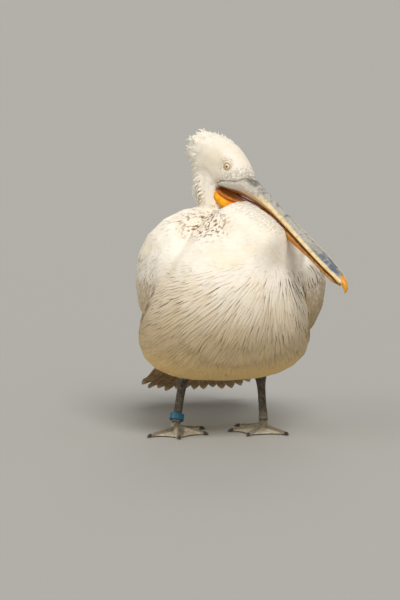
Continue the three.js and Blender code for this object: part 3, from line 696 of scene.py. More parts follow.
def feather_material(name, light, dark, tip, margin=None):
    """Vanes: a pale shaft, fine barbs, painted shade at the roots and along one side, and the body's marks
    with the painted shade and light of the underparts, or a pale margin.
    """
    paint = Paint(name, Roughness=0.78, Specular_IOR_Level=0.2)
    along, across, seed = paint.value("along"), paint.value("across"), paint.value("seed")
    streak, dusky = paint.value("streak"), paint.value("dusky")
    side = paint.maths("ABSOLUTE", across)
    tint = paint.over(light, tip, paint.patches(16, 3, 0.42, 0.66), 0.6)
    tint = paint.over(tint, tip, seed, 0.3)
    # Painted shade on the roots where the feathers overlap, with their greyer down.
    tint = paint.over(tint, dark, paint.within(along, 0.5, 0.1), streak, 0.5)
    some = paint.within(paint.maths("FRACT", paint.times(seed, 7.3)), 0.25, 0.75)
    # Painted shade along one side of some feathers, which draws the shaded lines between the plumes.
    edge = paint.times(paint.within(across, 0.5, 1.0), streak, some)
    fade = paint.within(along, 1.05, 0.75)
    tint = paint.over(tint, dark, edge, paint.times(fade, 0.6))
    tint = paint.over(tint, MOTTLE, paint.patches(60, 3, 0.46, 0.72), 0.25)
    # The wing's darker grey lower edge, and painted shade on the far wing.
    tint = paint.over(tint, DUSK_AND_SHADE_TINT, paint.within(dusky, 0.0, 1.0), 0.8)
    # Painted shadow, near black, in the gap beside the breast's plumes.
    tint = paint.over(tint, SHAFT_AND_GAP_SHADE, paint.within(dusky, 0.9, 1.6))
    tint = paint.over(tint, SHAFT_AND_GAP_SHADE, paint.within(side, 0.14, 0.02), paint.value("shafted"), 0.75)
    if margin:
        rim = paint.maths("MAXIMUM", paint.within(side, 0.72, 0.98), paint.within(along, 0.93, 0.99))
        tint = paint.over(paint.over(light, dark, paint.patches(90, 3, 0.3, 0.7)), margin, rim, 0.8)
    else:
        # Painted shade on the lower breast and belly, warm from light bounced up from below.
        tint = paint.over(tint, UNDERSIDE_SHADE_TINT, paint.value("stained"), 0.8)
        # Painted warm light bounced up from below, on the lowest belly.
        tint = paint.over(tint, BOUNCE_LIGHT_TINT, paint.value("golden"), 0.8)
    tint = paint.over(tint, LORE, paint.patches(190, 3, 0.36, 0.64), paint.value("lored"), 0.75)
    brown = paint.times(paint.patches(125, 2, 0.5, 0.62), paint.value("brown"))
    ringed = paint.times(paint.patches(520, 1, 0.55, 0.62), paint.value("ringed"))
    tint = paint.over(tint, BROWN, paint.maths("MAXIMUM", brown, paint.times(ringed, 0.6)))
    barbs = paint.maths("SINE", paint.times(paint.maths("SUBTRACT", along, side), 90.0))
    shaft = paint.within(side, 0.16, 0.0)
    relief = paint.maths("MULTIPLY_ADD", shaft, 2.0, paint.times(barbs, 0.35))
    return paint.finish(tint, None, paint.bump(relief, 0.0002, 0.3))


# ---- feathers ----
LETS_GO = 0.45  # a feather leaves a surface that falls away faster than this share of its run


def stations(rows):
    """Where a feather's rows lie, from 0 at its root to 1 at its tip, closest together at the tip."""
    return 1 - (1 - np.linspace(0, 1, rows)) ** 1.45


def laid(roots, lengths, rows, stiffness=1, astray=0.0):
    """Lines of points from the roots along the lie of the coat, on the envelope, with its normals there."""
    at, where = ENVELOPE.nearest(roots)
    normal = unit(ENVELOPE.read(N, where))
    spine, normals, spots = [at], [normal], [where]
    loose = np.zeros(len(roots), bool)
    way = np.zeros_like(at)
    turn = astray * lumps(roots, 50 * MM)[:, None]
    for share in np.diff(stations(rows)):
        step = lengths[:, None] * share
        lie = along_surface(ENVELOPE.read(LIE, where), normal)
        lie = unit(lie + np.cross(normal, lie) * turn)
        way = np.where(loose[:, None], way, lie)
        ahead = spine[-1] + way * step
        at, where = ENVELOPE.nearest(ahead)
        below = unit(ENVELOPE.read(N, where))
        loose |= ((ahead - at) * below).sum(1) > LETS_GO * step[:, 0]
        at = np.where(loose[:, None], ahead, at)
        normal = np.where(loose[:, None], normal, below)
        spine.append(at)
        normals.append(normal)
        spots.append(where)
    spine, normals = np.stack(spine, 1), np.stack(normals, 1)
    for _ in range(stiffness):
        spine[:, 1:-1] = (spine[:, :-2] + 2 * spine[:, 1:-1] + spine[:, 2:]) / 4
        normals[:, 1:-1] = unit(normals[:, :-2] + 2 * normals[:, 1:-1] + normals[:, 2:])
    return spine, normals, spots


def outline(along, pointed):
    """A vane's half width along it, as a share of its widest: round ended, or drawn out to a point."""
    root = mixed(0.3, 1, smoothstep(0, 0.4, along))
    late = np.clip((along - 0.45) / 0.55, 0, 1)
    rounded = np.sqrt(np.maximum(1 - late**2.4, 0))
    drawn = np.maximum(1 - late**1.15, 0)
    return np.maximum(root * mixed(rounded, drawn, pointed), 0.03)


SHEET = (np.array([-1, -0.5, 0, 0.5, 1]), np.zeros(5))
NARROW = (np.array([-1.0, 0, 1]), np.zeros(3))
QUILL_HALF = 0.5 * MM
QUILL = (
    np.array([-1, -0.6, -0.1, 0, 0.1, 0.6, 1, 0.6, 0.1, 0, -0.1, -0.6, -1]),
    np.array([0, 0.5, 0.6, 2, 0.6, 0.5, 0, -0.5, -0.6, -2, -0.6, -0.5, 0]) * QUILL_HALF,
)


def vanes(spine, normals, width, pointed, section=NARROW, camber=0.22, roll=0.1, ragged=0.06, worn=0.0):
    """Feathers along these spines, all of one grid: a sheet with a raised middle, or a closed quill."""
    columns, thick = section
    count, rows = spine.shape[:2]
    along = stations(rows)
    ahead = unit(np.gradient(spine, axis=1))
    side = unit(np.cross(ahead, normals))
    up = np.cross(side, ahead)
    turn = RANDOM.normal(0, roll, (count, 1, 1))
    side, up = side * np.cos(turn) + up * np.sin(turn), up * np.cos(turn) - side * np.sin(turn)
    half = outline(along[None], pointed[:, None]) * width[:, None] / 2
    uneven = 1 + RANDOM.normal(0, ragged, (count, rows, 1)) * np.abs(columns)
    out = half[..., None] * columns * uneven
    height = thick * outline(along, 0.5)[:, None] - camber * half[..., None] * np.abs(columns) ** 1.5
    points = spine[:, :, None] + side[:, :, None] * out[..., None] + up[:, :, None] * height[..., None]
    if worn:
        notch = RANDOM.uniform(0, worn, (count, 1, len(columns)))
        notch = notch * smoothstep(0.75, 1, along)[None, :, None]
        points = points - ahead[:, :, None] * notch[..., None]
    shape = points.shape[:3]
    return {
        "points": points,
        "along": np.broadcast_to(along[None, :, None], shape),
        "across": np.broadcast_to(columns, shape),
        "seed": np.broadcast_to(RANDOM.random((count, 1, 1)), shape),
    }


def body_feathers(roots, rows, stiffness=1, astray=0.0, **shape):
    """Feathers laid over the body from these roots. They rise from the skin to the envelope."""
    _, where = ENVELOPE.nearest(roots)
    length = ENVELOPE.read(LENGTH, where) * RANDOM.uniform(0.85, 1.12, len(roots))
    width = ENVELOPE.read(WIDTH, where) * RANDOM.uniform(0.88, 1.1, len(roots))
    depth = ENVELOPE.read(DEPTH, where)
    pointed = np.clip(ENVELOPE.read(POINTED, where) + RANDOM.normal(0, 0.1, len(roots)), 0, 1)
    spine, normals, spots = laid(roots, length, rows, stiffness, astray)
    run = stations(rows)[None]
    flat = ENVELOPE.read(FLATNESS, where)[:, None]
    rise = mixed(run**0.75, 1 - (1 - run) ** 4, flat)
    top = RANDOM.normal(0, 0.12, len(roots)) * MM + ENVELOPE.read(LIFTED, where)
    height = mixed(-depth[:, None], top[:, None] + 0.25 * MM * run, rise)
    made = vanes(spine + normals * height[..., None], normals, width, pointed, **shape)
    for key, values in (("streak", SHADE_STREAKED), ("dusky", DUSKY_AND_SHADED), ("shafted", SHAFTED)):
        made[key] = np.stack([ENVELOPE.read(values, spot) for spot in spots], 1)[:, :, None]
    return made


PATCH = 0.003  # the size of one feather's patch on the map, against the map's width of 1


def feather_piece(name, groups, material):
    """One mesh of many feathers, with the values that its material reads and the map for its colours."""
    points, quads, values, patches, start = [], [], {}, [], 0
    for group in groups:
        group = {"streak": 0, "dusky": 0, "shafted": 0} | group
        grid = group["points"]
        count, rows, columns = grid.shape[:3]
        index = start + np.arange(count * rows * columns).reshape(count, rows, columns)
        corners = [index[:, :-1, :-1], index[:, :-1, 1:], index[:, 1:, 1:], index[:, 1:, :-1]]
        quads.append(np.stack(corners, -1).reshape(-1, 4))
        points.append(grid.reshape(-1, 3))
        roots = grid[:, 0, columns // 2]
        for key, marks in marks_and_light(roots).items():
            group[key] = np.broadcast_to(marks[:, None, None], grid.shape[:3])
        for key in group:
            if key != "points":
                values.setdefault(key, []).append(np.broadcast_to(group[key], grid.shape[:3]).ravel())
        at = unwrap(roots)[:, None, None]
        local = np.stack([group["across"] / 2, group["along"] - 0.5], -1) * PATCH
        patches.append((at + local).reshape(-1, 2))
        start += index.size
    quads = np.concatenate(quads)
    mesh = mesh_from(name, np.concatenate(points), quads)
    for key, lists in values.items():
        marked(mesh, key, np.concatenate(lists))
    chart = np.concatenate(patches)[quads.ravel()]
    mesh.uv_layers.new(name="OFBake").data.foreach_set("uv", chart.astype(np.float32).ravel())
    mesh.materials.append(material)
    made = new_object(name, mesh)
    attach(made, "root")
    return made


# ---- skin ----
SKIN_CELL = 4 * MM
HEAD_CELL = 1.8 * MM
LEG_CELL = 1.3 * MM


def sunk(obj, extra=0.0):
    """Moves a body's points in from the envelope by the depth of the coat there."""
    points = points_of(obj.data)
    _, where = ENVELOPE.nearest(points)
    depth = ENVELOPE.read(DEPTH, where) + extra
    move_points(obj.data, points - normals_of(obj.data) * depth[:, None])
    return obj


def united(obj, *others):
    for other in others:
        union = obj.modifiers.new("union", "BOOLEAN")
        union.operation = "UNION"
        union.solver = "MANIFOLD"
        union.object = other
    baked(obj)
    for other in others:
        bpy.data.objects.remove(other)
    return obj


# The rim of skin round an eye, as (how far from the eye's axis, how far out from its middle) in mm.
LID_INNER = [(6.8, 2.8), (6.3, 4.6)]
LID_FOLD = [(6.2, 6.4), (6.25, 7.0), (6.5, 7.6), (6.9, 8.0), (7.4, 8.0), (7.9, 7.7), (8.4, 7.7)]
LID_OUTER = [(9.1, 7.3), (10.0, 6.3), (10.8, 4.6), (10.6, 2.8)]
LID_TURNS = 72


def eye_grid(side, out, across, up):
    """Points round an eye's middle, given by how far out along its gaze, and back and up from it, in mm."""
    gaze = np.array([side, 1, 1]) * GAZE
    aside = unit(np.cross([0, 0, 1], gaze)) * side
    upward = np.cross(gaze, aside) * side
    ball = middle_of("eye_left" if side > 0 else "eye_right")
    out, across, up = np.broadcast_arrays(out, across, up)
    local = out[..., None] * gaze + across[..., None] * aside + up[..., None] * upward
    return local * MM + to_head(ball[None])[0]


def lids(side):
    """The folded rim of skin round one eye, a little longer than it is high."""
    turn = np.linspace(0, 2 * math.pi, LID_TURNS, endpoint=False)[None]
    r, out = np.array(LID_FOLD + LID_OUTER + LID_INNER).T[..., None]
    r = r * (1 + 0.045 * np.cos(2 * turn))
    crease = 0.22 * np.sin(turn * 17 + r) * (out > 7) * (r > 7.8)
    grid = eye_grid(side, out + crease, r * np.cos(turn), r * np.sin(turn))
    return round_piece("lids", from_head(grid), closed_ends=False)


def make_skin():
    """One closed skin: a coarse body, with a finer head, lids and legs let into it."""
    solid_head = ["head", "neck_upper"]
    whole = sunk(body_of("skin", [*solid_head, *BODY_NODES], SKIN_CELL, GROWN, 8), 1 * MM)
    points = points_of(whole.data)
    head_part = smoothstep(0.49, 0.5, points[:, 2]) * 2.5 * MM
    move_points(whole.data, points - normals_of(whole.data) * head_part[:, None])
    head = sunk(body_of("skin_head", solid_head, HEAD_CELL, GROWN, 12), 0.4 * MM)
    legs = scaly(body_of("skin_legs", LEG_NODES, LEG_CELL, 0.5 * MM, 2))
    united(whole, head, lids(1), lids(-1), legs)
    points = points_of(whole.data)
    points[:, 2] = np.maximum(points[:, 2], 0)
    move_points(whole.data, points)
    return whole


SCALE_SIZE = 4.2 * MM
SCALE_DEPTH = 0.45 * MM


def from_scale_edge(points):
    """0 on the line between two of the leg's scales, up to 1 in the middle of one."""
    chance = np.random.default_rng(7)
    low, high = points.min(0) - SCALE_SIZE, points.max(0) + SCALE_SIZE
    count = np.ceil((high - low) / SCALE_SIZE).astype(int)
    cell = np.floor((points - low) / SCALE_SIZE).astype(int)
    jitter = chance.random((*count, 3), dtype=np.float32)
    nearest, second = np.full(len(points), 9.0), np.full(len(points), 9.0)
    for shift in np.ndindex(3, 3, 3):
        at = np.clip(cell + np.array(shift) - 1, 0, count - 1)
        middle = low + (at + 0.15 + 0.7 * jitter[tuple(at.T)]) * SCALE_SIZE
        away = np.linalg.norm(points - middle, axis=1) / SCALE_SIZE
        second = np.minimum(second, np.maximum(nearest, away))
        nearest = np.minimum(nearest, away)
    return smoothstep(0.02, 0.28, second - nearest)


def scaly(obj):
    """Raises small scales on the legs and toes, and leaves the webs and soles smooth."""
    points, normals = points_of(obj.data), normals_of(obj.data)
    share = np.maximum(smoothstep(5.5 * MM, 9 * MM, points[:, 2]), 0) * (normals[:, 2] > -0.5)
    raised = (from_scale_edge(points) - 0.6) * SCALE_DEPTH * share
    move_points(obj.data, points + normals * raised[:, None])
    return obj


skin = make_skin()


def unwrapped(obj):
    """Unfolds the skin, and returns a function that gives any point's place on the unfolded skin."""
    bpy.context.view_layer.objects.active = obj
    obj.select_set(True)
    bpy.ops.object.mode_set(mode="EDIT")
    bpy.ops.mesh.select_all(action="SELECT")
    bpy.ops.uv.smart_project(angle_limit=math.radians(66), island_margin=0.002)
    bpy.ops.object.mode_set(mode="OBJECT")
    mesh = obj.data
    mesh.uv_layers[0].name = "OFBake"
    chart = np.empty(len(mesh.loops) * 2, np.float32)
    mesh.uv_layers[0].data.foreach_get("uv", chart)
    chart = chart.reshape(-1, 2).astype(float)
    faces = [list(p.loop_indices) for p in mesh.polygons]
    corner = np.empty(len(mesh.loops), np.int32)
    mesh.loops.foreach_get("vertex_index", corner)
    points = points_of(mesh)
    tree = BVHTree.FromPolygons(points.tolist(), [corner[f].tolist() for f in faces])

    def place(roots):
        found = []
        for root in roots.tolist():
            at, _, face, _ = tree.find_nearest(root)
            loops = faces[face]
            near = 1 / (np.linalg.norm(points[corner[loops]] - np.array(at), axis=1) + 1e-6)
            found.append((chart[loops] * near[:, None]).sum(0) / near.sum())
        return np.array(found)

    return place


unwrap = unwrapped(skin)

# ---- coat ----
plumage = feather_material("white_plumage", WHITE, SHADE, CREAM)


def on_faces(vertices):
    return vertices[ENVELOPE.quads].mean(1) > 0.5


def coat(name, where, rows, across=0.55, along=0.42, **shape):
    """Feathers scattered over part of the envelope, across and along apart as shares of their own size."""
    roots = ENVELOPE.scattered(on_faces(where), LIE, WIDTH * across, LENGTH * along)
    roots = roots[from_eye(roots) > EYE_OPENING + 3.4 * MM]
    feather_piece(name, [body_feathers(roots, rows, **shape)], plumage)


AXIS_FROM = np.array([-5, 400, 175]) * MM
AXIS_TO = np.array([-15, -200, 330]) * MM


def in_rings(chosen, start, end, row_share=0.4, across_share=0.55, slant=0.25):
    """Roots in rings round the body's axis, each ring set between the one before, on the chosen faces."""
    along = unit(AXIS_TO - AXIS_FROM)
    aside = unit(np.cross(along, [0, 0, 1]))
    upward = np.cross(aside, along)
    kept = []
    at, odd = start, 0
    while at > end:
        middle = AXIS_FROM + along * at
        angles = np.linspace(0, 2 * math.pi, 720, endpoint=False)
        found = [ring_hit(middle, along, aside, upward, a, slant) for a in angles]
        places = np.array([f[0] for f in found])
        faces = np.array([f[1] for f in found])
        where = ENVELOPE.shares(places, faces)
        width, length = ENVELOPE.read(WIDTH, where), ENVELOPE.read(LENGTH, where)
        gaps = np.linalg.norm(np.roll(places, -1, 0) - places, axis=1)
        run = np.cumsum(gaps / (width * across_share)) + odd / 2
        first = np.flatnonzero(np.floor(run) > np.floor(np.roll(run, 1)))
        use = first[chosen[faces[first]]]
        kept.append(places[use])
        step = length[chosen[faces]].mean() if chosen[faces].any() else 30 * MM
        at -= step * row_share
        odd = 1 - odd
    return np.concatenate(kept)


def ring_hit(middle, along, aside, upward, angle, slant):
    way = aside * math.cos(angle) + upward * math.sin(angle)
    start = middle + along * slant * math.sin(angle) * 0.1
    place, _, face, _ = ENVELOPE.tree.ray_cast(Vector(start), Vector(way))
    return (np.array(place), face) if place is not None else (start, 0)


def wing_coat(name, node):
    """Loose small feathers over the shoulder, then rows of longer and longer ones."""
    there = labelled(node)
    front = ENVELOPE.scattered(on_faces(there & (Y < 15 * MM)), LIE, WIDTH * 0.46, LENGTH * 0.24)
    rows = in_rings(on_faces(there & (Y >= -5 * MM)), 0.62, 0.04)
    rows = rows + RANDOM.normal(0, 1.2 * MM, rows.shape)
    shape = {"section": SHEET, "roll": 0.04, "stiffness": 2, "camber": 0.16}
    made = [body_feathers(front, 10, astray=0.08, **shape), body_feathers(rows, 10, **shape)]
    feather_piece(name, made, plumage)


breast = TRUNK & (Y < 0.02)
coat("feathers_face", FACE, 6, across=0.42, along=0.27, ragged=0.03, camber=0.12, roll=0.04)
coat("feathers_neck", NECK, 7, across=0.42, along=0.25, camber=0.15, roll=0.06)
smooth = {"across": 0.42, "along": 0.23, "astray": 0.05, "camber": 0.06, "roll": 0.02, "ragged": 0.03}
coat("feathers_breast", breast & (Z > 0.37), 8, section=SHEET, **smooth)
plumes = {"across": 0.5, "along": 0.21, "astray": 0.14, "camber": 0.2, "roll": 0.04, "stiffness": 2}
coat("feathers_breast_low", breast & (Z <= 0.37) & (Z > 0.24), 10, section=SHEET, **plumes)
coat("feathers_belly", breast & (Z <= 0.24), 10, section=SHEET, **plumes)
coat("feathers_flanks", TRUNK & (Y >= 0.02), 8, across=0.45, along=0.27, roll=0.05, camber=0.15)
coat("feathers_thighs", THIGHS, 7, across=0.45, along=0.3)
wing_coat("feathers_wing_left", "wing_left")
wing_coat("feathers_wing_right", "wing_right")
coat("feathers_crest", CREST, 8, across=0.42, along=0.27, roll=0.1)


TUFT_WIDTH = np.array([2.6, 4.8]) * MM
TUFT_DEPTH = 2 * MM


def tufts(where, across, along, longest, standing):
    """Loose locks that stand out from the crown and the nape and curl back down."""
    roots = ENVELOPE.scattered(on_faces(where), LIE, WIDTH * across, LENGTH * along)
    at, spot = ENVELOPE.nearest(roots)
    normal, lie = unit(ENVELOPE.read(N, spot)), unit(ENVELOPE.read(LIE, spot))
    count, rows = len(roots), 8
    length = RANDOM.uniform(0.5, 1, (count, 1, 1)) * longest
    rise = np.radians(RANDOM.uniform(*standing, (count, 1)))
    side = np.cross(normal, lie) * RANDOM.normal(0, 0.22, (count, 1))
    start = unit(lie * np.cos(rise) + normal * np.sin(rise) + side)
    curl = lie * 0.3 - normal * RANDOM.uniform(0.0, 0.5, (count, 1)) + side
    along = stations(rows)[None, :, None]
    base = at + normal * (0.6 * ENVELOPE.read(LIFTED, spot) - TUFT_DEPTH)[:, None]
    spine = base[:, None] + length * (along * start[:, None] + along**2 * curl[:, None] * 0.45)
    normals = np.broadcast_to(normal[:, None], spine.shape)
    width = RANDOM.uniform(*TUFT_WIDTH, count)
    return vanes(spine, normals, width, np.ones(count), camber=0.3, roll=0.4)


mane = [
    tufts(CREST & ((NAPE > 0.1) | (to_head(P)[:, 1] > 85 * MM)), 1.1, 0.5, 14 * MM, (25, 58)),
    tufts(NECK & (NAPE > 0.2) & (Z > 0.505), 1.1, 0.42, 17 * MM, (25, 60)),
    tufts(NECK & (NAPE > 0.2) & (Z <= 0.505), 1.3, 0.5, 9 * MM, (8, 30)),
]
feather_piece("feathers_mane", mane, plumage)


# ---- tail ----
TAIL_ROOT = np.array([-7, 222, 208]) * MM
TAIL_UP = np.cross([1, 0, 0], TAIL_AHEAD)
TAIL_COUNT = 13
TAIL_SPREAD = math.radians(29)


def tail_quills():
    """A fan of quills in the middle of the tail's solid, the inner ones over the outer ones."""
    vertices, faces, _ = faces_of(["tail"])
    tree = BVHTree.FromPolygons(vertices, faces)
    flat = (np.array(vertices) - TAIL_ROOT) @ np.stack([[1, 0, 0], TAIL_AHEAD, TAIL_UP]).T
    turned = np.arctan2(flat[:, 0], flat[:, 1])
    reach = np.hypot(flat[:, 0], flat[:, 1])
    rows, spines, widths = 30, [], []
    for i in range(TAIL_COUNT):
        share = 2 * i / (TAIL_COUNT - 1) - 1
        angle = share * TAIL_SPREAD
        near = reach[np.abs(turned - angle) < math.radians(6)]
        length = (near.max() if len(near) else 0.2) * RANDOM.uniform(0.985, 1.03) + 14 * MM
        way = math.sin(angle) * np.array([1, 0, 0]) + math.cos(angle) * TAIL_AHEAD
        line = TAIL_ROOT + way * mixed(0.05, 1, stations(rows))[:, None] * length
        line = np.array([middle_height(tree, p) for p in line])
        line += TAIL_UP * mixed(2.5, -2.5, abs(share)) * MM
        spines.append(line)
        widths.append(mixed(40, 36, abs(share)) * MM)
    spines = np.array(spines)
    for _ in range(3):
        spines[:, 1:-1] = (spines[:, :-2] + 2 * spines[:, 1:-1] + spines[:, 2:]) / 4
    normals = np.broadcast_to(TAIL_UP, spines.shape)
    even = {"camber": 0.05, "roll": 0.06, "ragged": 0.015, "worn": 4 * MM}
    made = vanes(spines, normals, np.array(widths), np.full(TAIL_COUNT, 0.0), QUILL, **even)
    return made | {"streak": 0.8, "shafted": 0.9}


def middle_height(tree, point):
    """The point moved to the middle of the tail's thickness."""
    over = tree.ray_cast(Vector(point + TAIL_UP * 0.1), Vector(-TAIL_UP))[0]
    under = tree.ray_cast(Vector(point - TAIL_UP * 0.1), Vector(TAIL_UP))[0]
    if over is None or under is None:
        return point
    middle = (np.array(over) + np.array(under)) / 2
    return point + TAIL_UP * ((middle - point) @ TAIL_UP)


# The tail's browns are partly the feathers' own dirty tone and partly painted shade, as the tail lies in
# the body's shadow.
TAIL_SOILED_SHADED = colour(172, 140, 100)
TAIL_DARK = colour(144, 114, 82)
TAIL_MARGIN = colour(200, 178, 140)
tail_paint = feather_material("tail_quills", TAIL_SOILED_SHADED, TAIL_DARK, CREAM, margin=TAIL_MARGIN)
tail = feather_piece("tail_quills", [tail_quills()], tail_paint)
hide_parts("tail")
coat(
    "feathers_tail_base",
    labelled("tail") & ((P - TAIL_ROOT) @ TAIL_AHEAD < 0.08),
    9,
    across=0.42,
    along=0.2,
    section=SHEET,
    camber=0.12,
    roll=0.04,
)

# ---- primaries ----
PRIMARIES = 6


def primaries(node):
    """A stack of long dark quills in the solid of one wingtip, each a little shorter than the last."""
    points = np.array(faces_of([node])[0])
    low, high = points[:, 1].min(), points[:, 1].max()
    rows, spines = 14, []
    slices = np.linspace(low, high, 9)
    reach = (high - low) / 7
    middles = [points[np.abs(points[:, 1] - y) < reach].mean(0) for y in slices]
    outward = np.array([np.sign(points[:, 0].mean() - TAIL_ROOT[0]), 0, 0])
    for i in range(PRIMARIES):
        share = i / (PRIMARIES - 1)
        y = mixed(low, mixed(high, high - 0.05, share), stations(rows))
        line = np.stack([np.interp(y, slices, np.array(middles)[:, k]) for k in range(3)], 1)
        line[:, 1] = y
        line += outward * mixed(-3, 5, share) * MM + np.array([0, 0, 1]) * mixed(-9, 12, share) * MM
        spines.append(line)
    spines = np.array(spines)
    normals = np.broadcast_to(unit(outward + [0, 0, 0.5]), spines.shape)
    width = np.full(PRIMARIES, 24 * MM)
    made = vanes(spines, normals, width, np.full(PRIMARIES, 0.5), QUILL, camber=0.1, roll=0.03)
    # Painted shade at the quills' roots and along one side, at half strength.
    return made | {"streak": 0.5}


QUILL_BLACK = colour(46, 42, 40)
QUILL_GREY = colour(92, 86, 80)
primary_paint = feather_material("dark_quills", QUILL_BLACK, colour(24, 22, 21), QUILL_GREY)
for node in TIP_NODES:
    name = node.replace("wingtip", "primaries")
    piece = feather_piece(name, [primaries(node)], primary_paint)
    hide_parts(node)

# ---- skin's paint ----


TARSUS_BACK = 11 * MM  # from the shank's front to its middle, where the toes meet
BETWEEN_FEET = -0.02
TOES = ("hind", "inner", "middle", "outer")


def toe_share(points):
    """1 along the middle of the toes and up the tarsus, 0 on the webs."""
    found = np.full(len(points), 1.0)
    for side in ("left", "right"):
        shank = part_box("shank_" + side)
        ankle = np.array([(shank[0][0] + shank[1][0]) / 2, shank[0][1] + TARSUS_BACK])
        near = np.abs(points[:, 0] - ankle[0]) < 0.12
        near &= (points[:, 0] > BETWEEN_FEET) == (side == "left")
        away = np.full(len(points), 1.0)
        for toe in TOES:
            way = middle_of(f"claw_{side}_{toe}")[:2] - ankle
            run = np.clip((points[:, :2] - ankle) @ way / (way @ way), 0, 1)
            away = np.minimum(away, np.linalg.norm(points[:, :2] - ankle - run[:, None] * way, axis=1))
        found = np.where(near, smoothstep(9 * MM, 5 * MM, away), found)
    return np.maximum(found, smoothstep(14 * MM, 22 * MM, points[:, 2]))


LEGS_UNDER = 0.15  # the height under which skin can be bare leg
HEAD_OVER = 0.5
MOUTH_OVER = 0.4


def mouth_share(points):
    """1 in the strip of the head's skin just under the upper bill's edge, which is seen in the gape and is
    painted dark there as shade.
    """
    place = to_head(points) / MM
    below = edge_height(-place[:, 1]) - place[:, 2]
    gape_shade = smoothstep(22, 12, place[:, 1]) * smoothstep(-3, 1, below) * smoothstep(12, 8, below)
    return gape_shade * (place[:, 1] > -110) * (points[:, 2] > MOUTH_OVER)


def paint_skin(obj):
    points = points_of(obj.data)
    low, high = points[:, 2] < LEGS_UNDER, points[:, 2] > HEAD_OVER
    bare = np.zeros(len(points))
    bare[low] = owners(points[low], [*BODY_NODES, *LEG_NODES]) >= len(BODY_NODES)
    values = marks_and_light(points) | {"bare": bare, "toe": toe_share(points), "gape_shade": mouth_share(points)}
    values["scale"] = from_scale_edge(points) * bare
    values["lid"] = smoothstep(10.5 * MM, 9 * MM, from_eye(points)) * high
    values["rim"] = smoothstep(7.4 * MM, 6.7 * MM, from_eye(points)) * high
    for key, given in values.items():
        marked(obj.data, key, given)
    obj.data.materials.clear()
    paint = Paint("skin", Roughness=0.55, Specular_IOR_Level=0.4)
    tint = paint.over(colour(236, 228, 212), colour(222, 210, 190), paint.noise(60))
    # Painted shade on the lower body, warm from light bounced up from below.
    tint = paint.over(tint, colour(176, 150, 112), paint.value("stained"), 0.85)
    tint = paint.over(tint, LORE, paint.value("lored"), 0.6)
    tint = paint.over(tint, BROWN, paint.patches(125, 2, 0.5, 0.62), paint.value("brown"))
    lid = paint.over(colour(222, 206, 178), colour(186, 162, 132), paint.patches(900, 2, 0.4, 0.6))
    tint = paint.over(tint, lid, paint.value("lid"))
    tint = paint.over(tint, colour(168, 134, 102), paint.value("rim"))
    # Painted shade: the skin seen in the gape, under the upper bill, is dark brown.
    tint = paint.over(tint, colour(120, 70, 38), paint.value("gape_shade"))
    mottled, scale = paint.patches(150, 4, 0.38, 0.62), paint.value("scale")
    dark = paint.over(colour(106, 97, 84), colour(66, 59, 52), mottled)
    dark = paint.over(dark, colour(44, 39, 35), paint.within(scale, 0.55, 0.0))
    # Painted light on the feet's upturned tops: the webs, and less so the toes, are paler than the shanks.
    sunlit_web = paint.over(colour(186, 176, 152), colour(158, 148, 128), mottled)
    toes = paint.over(colour(136, 128, 112), colour(84, 77, 68), paint.within(scale, 0.6, 0.0))
    height = paint.add("SeparateXYZ", "Z", Vector=paint.place())
    leg = paint.over(paint.over(sunlit_web, toes, paint.value("toe")), dark, paint.within(height, 0.014, 0.05))
    tint = paint.over(tint, leg, paint.value("bare"))
    relief = paint.times(paint.noise(700, 3), paint.value("bare"))
    obj.data.materials.append(paint.finish(tint, None, paint.bump(relief, 0.0006, 0.5)))
    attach(obj, "root")
    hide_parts(*HEAD_NODES, *BODY_NODES, *LEG_NODES)


paint_skin(skin)

# ---- bill ----
BILL_LENGTH = 418  # from between the eyes, in mm
# Rows in the head's frame, in mm: how far back, top, bottom, half width.
BILL_ROWS = [
    (12, -52, -52, 0),
    (4, -42, -57, 26),
    (-12, -22, -53, 29.5),
    (-32, -8, -47, 27.5),
    (-54, 6, -39, 24),
    (-82, 6, -30, 20.5),
    (-114, 6, -21, 18),
    (-160, 5, -13, 16.5),
    (-232, 3, -10, 18.5),
    (-298, 2, -9, 20.5),
    (-346, 1, -9.5, 19.5),
    (-378, 0, -11, 15.5),
    (-396, -3, -14, 11),
    (-402, -8, -8, 0),
]
NAIL_ROWS = [
    (-386, 0, 0, 0),
    (-389, 0.6, -4, 4),
    (-397, -0.6, -12, 6.8),
    (-405, -3.6, -16, 6),
    (-411, -8, -20, 4.2),
    (-414.5, -14, -24, 2.8),
    (-416.5, -25, -25, 0),
]
POUCH_ROWS = [
    (24, -76, -76, 0),
    (14, -62, -90, 20),
    (-12, -60, -94, 27),
    (-40, -56, -88, 25),
    (-70, -45, -74, 20),
    (-106, -28, -54, 15),
    (-160, -15, -38, 11),
    (-232, -12, -30, 12.5),
    (-298, -11, -23, 14),
    (-334, -16, -16, 0),
]


def placed(piece, material, slot, *nodes):
    piece.data.materials.append(material)
    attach(piece, "root")
    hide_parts(*nodes)
    return piece


